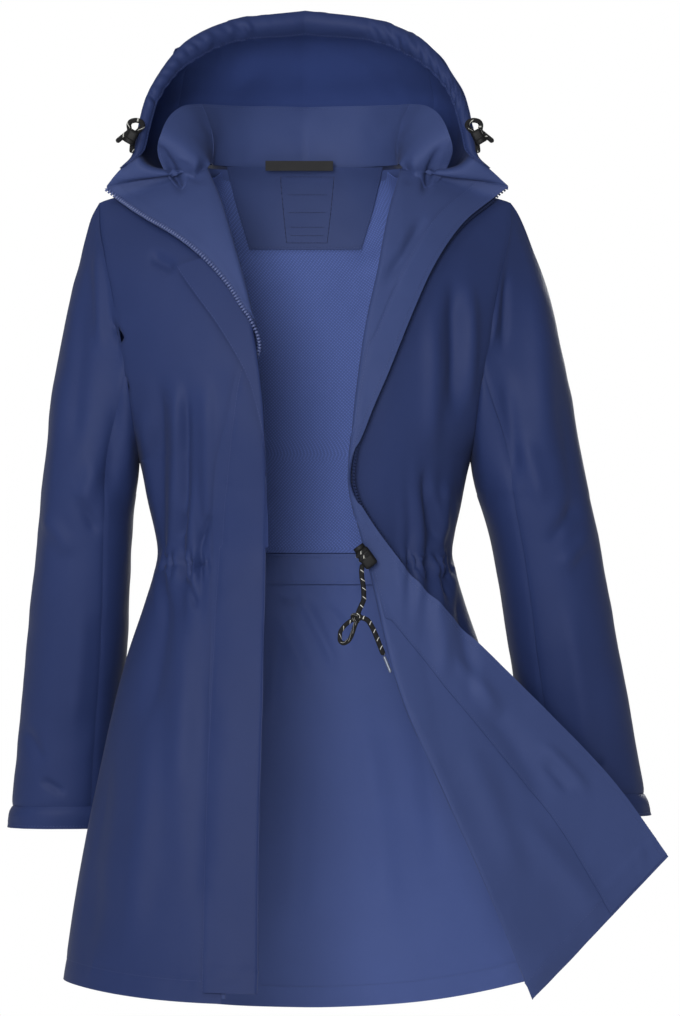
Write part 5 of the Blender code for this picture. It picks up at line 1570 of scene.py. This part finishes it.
def make_collar(part):
    ups = spread(0.0, 1.0, 18)
    if part == "back":
        half_places = spread(COLLAR_PANEL + 0.0003, 1.0, 24)
        points = both_halves(lambda place: collar_point(np.full(18, place), ups), half_places)
        outside_first = True
        dipped = ("top", "end")
    else:
        places = spread(0.0, COLLAR_PANEL - 0.0003, 52)
        points = mirror_to(part, np.array([collar_point(np.full(18, place), ups)
                                           for place in places]))
        outside_first = part == "right"
        dipped = ("end",)
    run, side_run = runs(points, 0), runs(points, 1)
    push = 0.0007 * soft_noise(run, side_run, 0.020, 131)
    base = np.exp(-(side_run / 0.007) ** 2)
    if part == "back":
        push += base * 0.0006 * soft_noise(run, side_run * 0.3, 0.006, 133)
    else:
        follows = 1.0 - ease((places[:, None] - 0.12) / 0.26)
        push += front_push(part, points, outside_first) * follows
    push += groove(side_run - 0.0022, 0.0004) + groove(side_run[:, -1:] - side_run - 0.003, 0.0004)
    push += edge_dip(points, dipped, 0.0005)
    name = "collar_" + part
    sheet = cloth(name + "_cloth", points, "inside", (name,), push,
                  outside_first=outside_first)
    sew(name + "_stitches", sheet,
        cols=column_at(points, 0.003, from_last=True), face=-1.0)


# ---------------------------------------------------------------- cords and their locks
def tube(name, route, radius, finish, nodes, sides=14):
    """A round cord through a route, with rounded ends."""
    route = np.array(route)
    step = np.gradient(route, axis=0)
    step /= np.linalg.norm(step, axis=1)[:, None]
    side = np.cross(step[0], (0.1, 1.0, 0.05))
    run = np.concatenate([[0.0], np.cumsum(np.linalg.norm(np.diff(route, axis=0), axis=1))])
    to_end = np.minimum(run, run[-1] - run)
    round_off = np.sqrt(np.clip(1.0 - (1.0 - np.clip(to_end / radius, 0.0, 1.0)) ** 2, 0.04, 1.0))
    rows = []
    for centre, way, size in zip(route, step, radius * round_off):
        side = side - way * np.dot(side, way)
        side /= np.linalg.norm(side)
        up = np.cross(way, side)
        angle = spread(0.0, 2.0 * math.pi, sides + 1)[:, None]
        rows.append(centre + size * (np.cos(angle) * side + np.sin(angle) * up))
    points = np.array(rows)
    points[:, -1] = points[:, 0]
    mesh = sheet_mesh(name, points, False, False)
    layer = mesh.uv_layers["cut"]
    flat = np.empty(len(mesh.loops) * 2)
    layer.data.foreach_get("uv", flat)
    flat = flat.reshape(-1, 2)
    around = 2.0 * math.pi * radius
    flat[:, 0] = np.rint(flat[:, 0] / around * sides) / sides
    layer.data.foreach_set("uv", flat.ravel())
    form = bmesh.new()
    form.from_mesh(mesh)
    bmesh.ops.remove_doubles(form, verts=form.verts, dist=1e-6)
    bmesh.ops.holes_fill(form, edges=[e for e in form.edges if e.is_boundary], sides=0)
    bmesh.ops.recalc_face_normals(form, faces=form.faces)
    form.to_mesh(mesh)
    form.free()
    return add_piece(name, mesh, (finish,), nodes)


def tilted(centre, tilt, size):
    """Where a tilted piece lies, and its size."""
    turn = Matrix.Rotation(tilt, 4, "Y") @ Matrix.Diagonal((*size, 1.0))
    return Matrix.Translation(centre) @ turn


def rounded_box(name, centre, size, tilt, finish, nodes=(), bevel=0.3):
    form = bmesh.new()
    bmesh.ops.create_cube(form, size=1.0)
    turn = tilted(centre, tilt, size)
    bmesh.ops.transform(form, matrix=turn, verts=form.verts)
    mesh = to_mesh(form, name)
    piece = add_piece(name, mesh, (finish,), nodes)
    edge = piece.modifiers.new("edges", "BEVEL")
    edge.width = min(size) * bevel
    edge.segments = 4
    return piece


def barrel(name, centre, size, tilt, finish):
    """A short round knob whose axis is tilted in the front plane."""
    form = bmesh.new()
    turn = tilted(centre, tilt, size)
    bmesh.ops.create_cone(form, cap_ends=True, segments=24, radius1=0.5, radius2=0.5, depth=1.0,
                          matrix=turn)
    mesh = to_mesh(form, name)
    piece = add_piece(name, mesh, (finish,))
    edge = piece.modifiers.new("edges", "BEVEL")
    edge.width = min(size) * 0.25
    edge.segments = 3
    edge.limit_method = "ANGLE"
    return piece


def placed(centre, tilt, offset):
    """A point off a tilted piece's centre, along its own axes."""
    return Vector(centre) + Matrix.Rotation(tilt, 3, "Y") @ Vector(offset)


def make_waist_cord():
    tilt = math.radians(-36.0)
    rounded_box("waist_cord_lock_body", WAIST_LOCK, (0.0140, 0.0100, 0.0205), tilt, "black",
                ("waist_cord_lock",))
    barrel("waist_cord_lock_button", placed(WAIST_LOCK, tilt, (0.0, 0.0, 0.0118)),
           (0.0118, 0.0085, 0.0048), tilt, "black")
    for offset in (0.0010, 0.0060):
        start = placed(WAIST_LOCK, tilt, (-0.0082, -0.0040, offset))
        end = placed(WAIST_LOCK, tilt, (0.0060, -0.0044, offset + 0.0012))
        route = [tuple(start.lerp(end, t)) for t in spread(0.0, 1.0, 12)]
        tube("waist_cord_in_lock_high", route, 0.0021, "waist_cord", ())
    drop = through(WAIST_DROP, 0.0011)
    piece = tube("waist_cord_drop_braid", drop, CORD / 2.0, "waist_cord",
                 ("waist_cord_drop",))
    knot = make_knot()
    loop = through(WAIST_LOOP, 0.0011)
    thick = CORD * 0.86
    piece = tube("waist_cord_loop_braid", loop, thick / 2.0, "waist_cord",
                 ("waist_cord_loop",))
    tail = through(WAIST_TAIL, 0.0011)
    piece = tube("waist_cord_tail_braid", tail, CORD / 2.0, "waist_cord",
                 ("waist_cord_tail",))
    tip = tube("waist_cord_tip_clip", through(tip_points(), 0.0008), 0.0015, "clip",
               ("waist_cord_tip",))


def make_knot():
    """An overhand knot, drawn up tight."""
    turn = spread(0.0, 2.0 * math.pi, 90)
    x = np.sin(turn) + 2.0 * np.sin(2.0 * turn)
    z = np.cos(turn) - 2.0 * np.cos(2.0 * turn)
    y = -np.sin(3.0 * turn)
    route = np.stack([x * 0.00130, y * 0.0019, z * 0.00125], axis=-1) + np.array(WAIST_KNOT)
    route[-1] = route[0] + (route[1] - route[0]) * 0.2
    return tube("waist_cord_knot_braid", route, 0.0022, "waist_cord",
                ("waist_cord_knot",))


def make_hood_cord(side):
    sign = SIDES[side]
    flip = np.array([sign, 1.0, 1.0])
    tilt = -HOOD_LOCK_TILT * sign
    centre = np.array(HOOD_LOCK) * flip
    rounded_box("hood_cord_lock_body_" + side, centre, (0.0112, 0.0080, 0.0122), tilt, "black",
                ("hood_cord_lock_" + side,), bevel=0.4)
    barrel("hood_cord_lock_knob_" + side, placed(centre, tilt, (0.0, -0.0002, -0.0062)),
           (0.0122, 0.0090, 0.0050), tilt, "black")
    route = through([tuple(np.array(p) * flip) for p in HOOD_CORD_ROUTE], 0.0009)
    piece = tube("hood_cord_braid_" + side, route, HOOD_CORD / 2.0, "hood_cord",
                 ("hood_cord_" + side,), sides=12)


# ---------------------------------------------------------------- camera, light and floor
VIEW_DISTANCE = 8.0
VIEW_HEIGHT = 1.016
VIEW_CENTRE = (0.035, -0.342)
COAT_MIDDLE = (0.03, 0.0, -0.35)
WORLD_LIGHT = 0.35
FLOOR_RADIUS = 4.5
FLOOR_LEVEL = -1.25


def add_camera():
    lens = bpy.data.cameras.new("view")
    lens.sensor_fit = "VERTICAL"
    lens.sensor_height = 24.0
    lens.lens = 24.0 * VIEW_DISTANCE / VIEW_HEIGHT
    camera = bpy.data.objects.new("view", lens)
    camera.location = (VIEW_CENTRE[0], -VIEW_DISTANCE, VIEW_CENTRE[1])
    camera.rotation_euler = (math.radians(90.0), 0.0, 0.0)
    bpy.context.scene.collection.objects.link(camera)
    bpy.context.scene.camera = camera


def add_light(name, place, size, power):
    """A round soft light aimed at the coat's middle."""
    lamp = bpy.data.lights.new(name, "AREA")
    lamp.shape = "DISK"
    lamp.size = size
    lamp.energy = power
    light = bpy.data.objects.new(name, lamp)
    light.location = place
    aim = Vector(COAT_MIDDLE) - Vector(place)
    light.rotation_euler = aim.to_track_quat("-Z", "Y").to_euler()
    bpy.context.scene.collection.objects.link(light)


def add_stage():
    world = bpy.data.worlds.new("studio")
    bpy.context.scene.world = world
    world.use_nodes = True
    tree = world.node_tree
    tree.nodes.clear()
    seen = tree.nodes.new("ShaderNodeBackground")
    seen.inputs["Strength"].default_value = 1.0
    seen.inputs["Color"].default_value = (1.0, 1.0, 1.0, 1.0)
    lit = tree.nodes.new("ShaderNodeBackground")
    lit.inputs["Color"].default_value = (1.0, 1.0, 1.0, 1.0)
    lit.inputs["Strength"].default_value = WORLD_LIGHT
    path = tree.nodes.new("ShaderNodeLightPath")
    mix = tree.nodes.new("ShaderNodeMixShader")
    out = tree.nodes.new("ShaderNodeOutputWorld")
    tree.links.new(path.outputs["Is Camera Ray"], mix.inputs["Fac"])
    tree.links.new(lit.outputs[0], mix.inputs[1])
    tree.links.new(seen.outputs[0], mix.inputs[2])
    tree.links.new(mix.outputs[0], out.inputs["Surface"])
    form = bmesh.new()
    bmesh.ops.create_circle(form, cap_ends=True, segments=64, radius=FLOOR_RADIUS)
    mesh = to_mesh(form, "floor")
    floor = bpy.data.objects.new("floor", mesh)
    floor.location = (0.0, 0.0, FLOOR_LEVEL)
    bpy.context.scene.collection.objects.link(floor)
    pale = Nodes("pale_floor")
    pale.shader.inputs["Base Color"].default_value = (0.86, 0.86, 0.86, 1.0)
    pale.shader.inputs["Roughness"].default_value = 0.9
    mesh.materials.append(pale.material)


bpy.context.scene.view_settings.view_transform = "Standard"
add_camera()
add_stage()
add_light("front soft light", (-0.7, -4.2, 0.5), 1.8, 150.0)
add_light("top soft light", (-1.2, -1.6, 2.2), 1.4, 26.0)
add_light("back soft light", (0.9, 4.6, 1.3), 2.4, 230.0)

make_waist_cord()
make_back()
make_linings()
make_hanger_loop()
for each in SIDES:
    make_hood_cord(each)
    make_front(each)
    make_zip(each)
    make_sleeve(each, "upper")
    make_sleeve(each, "under")
    make_cuff(each)
    make_hood_side(each)
    make_collar(each)
make_facing()
make_storm_flap()
make_hood_centre()
make_brim()
make_collar("back")
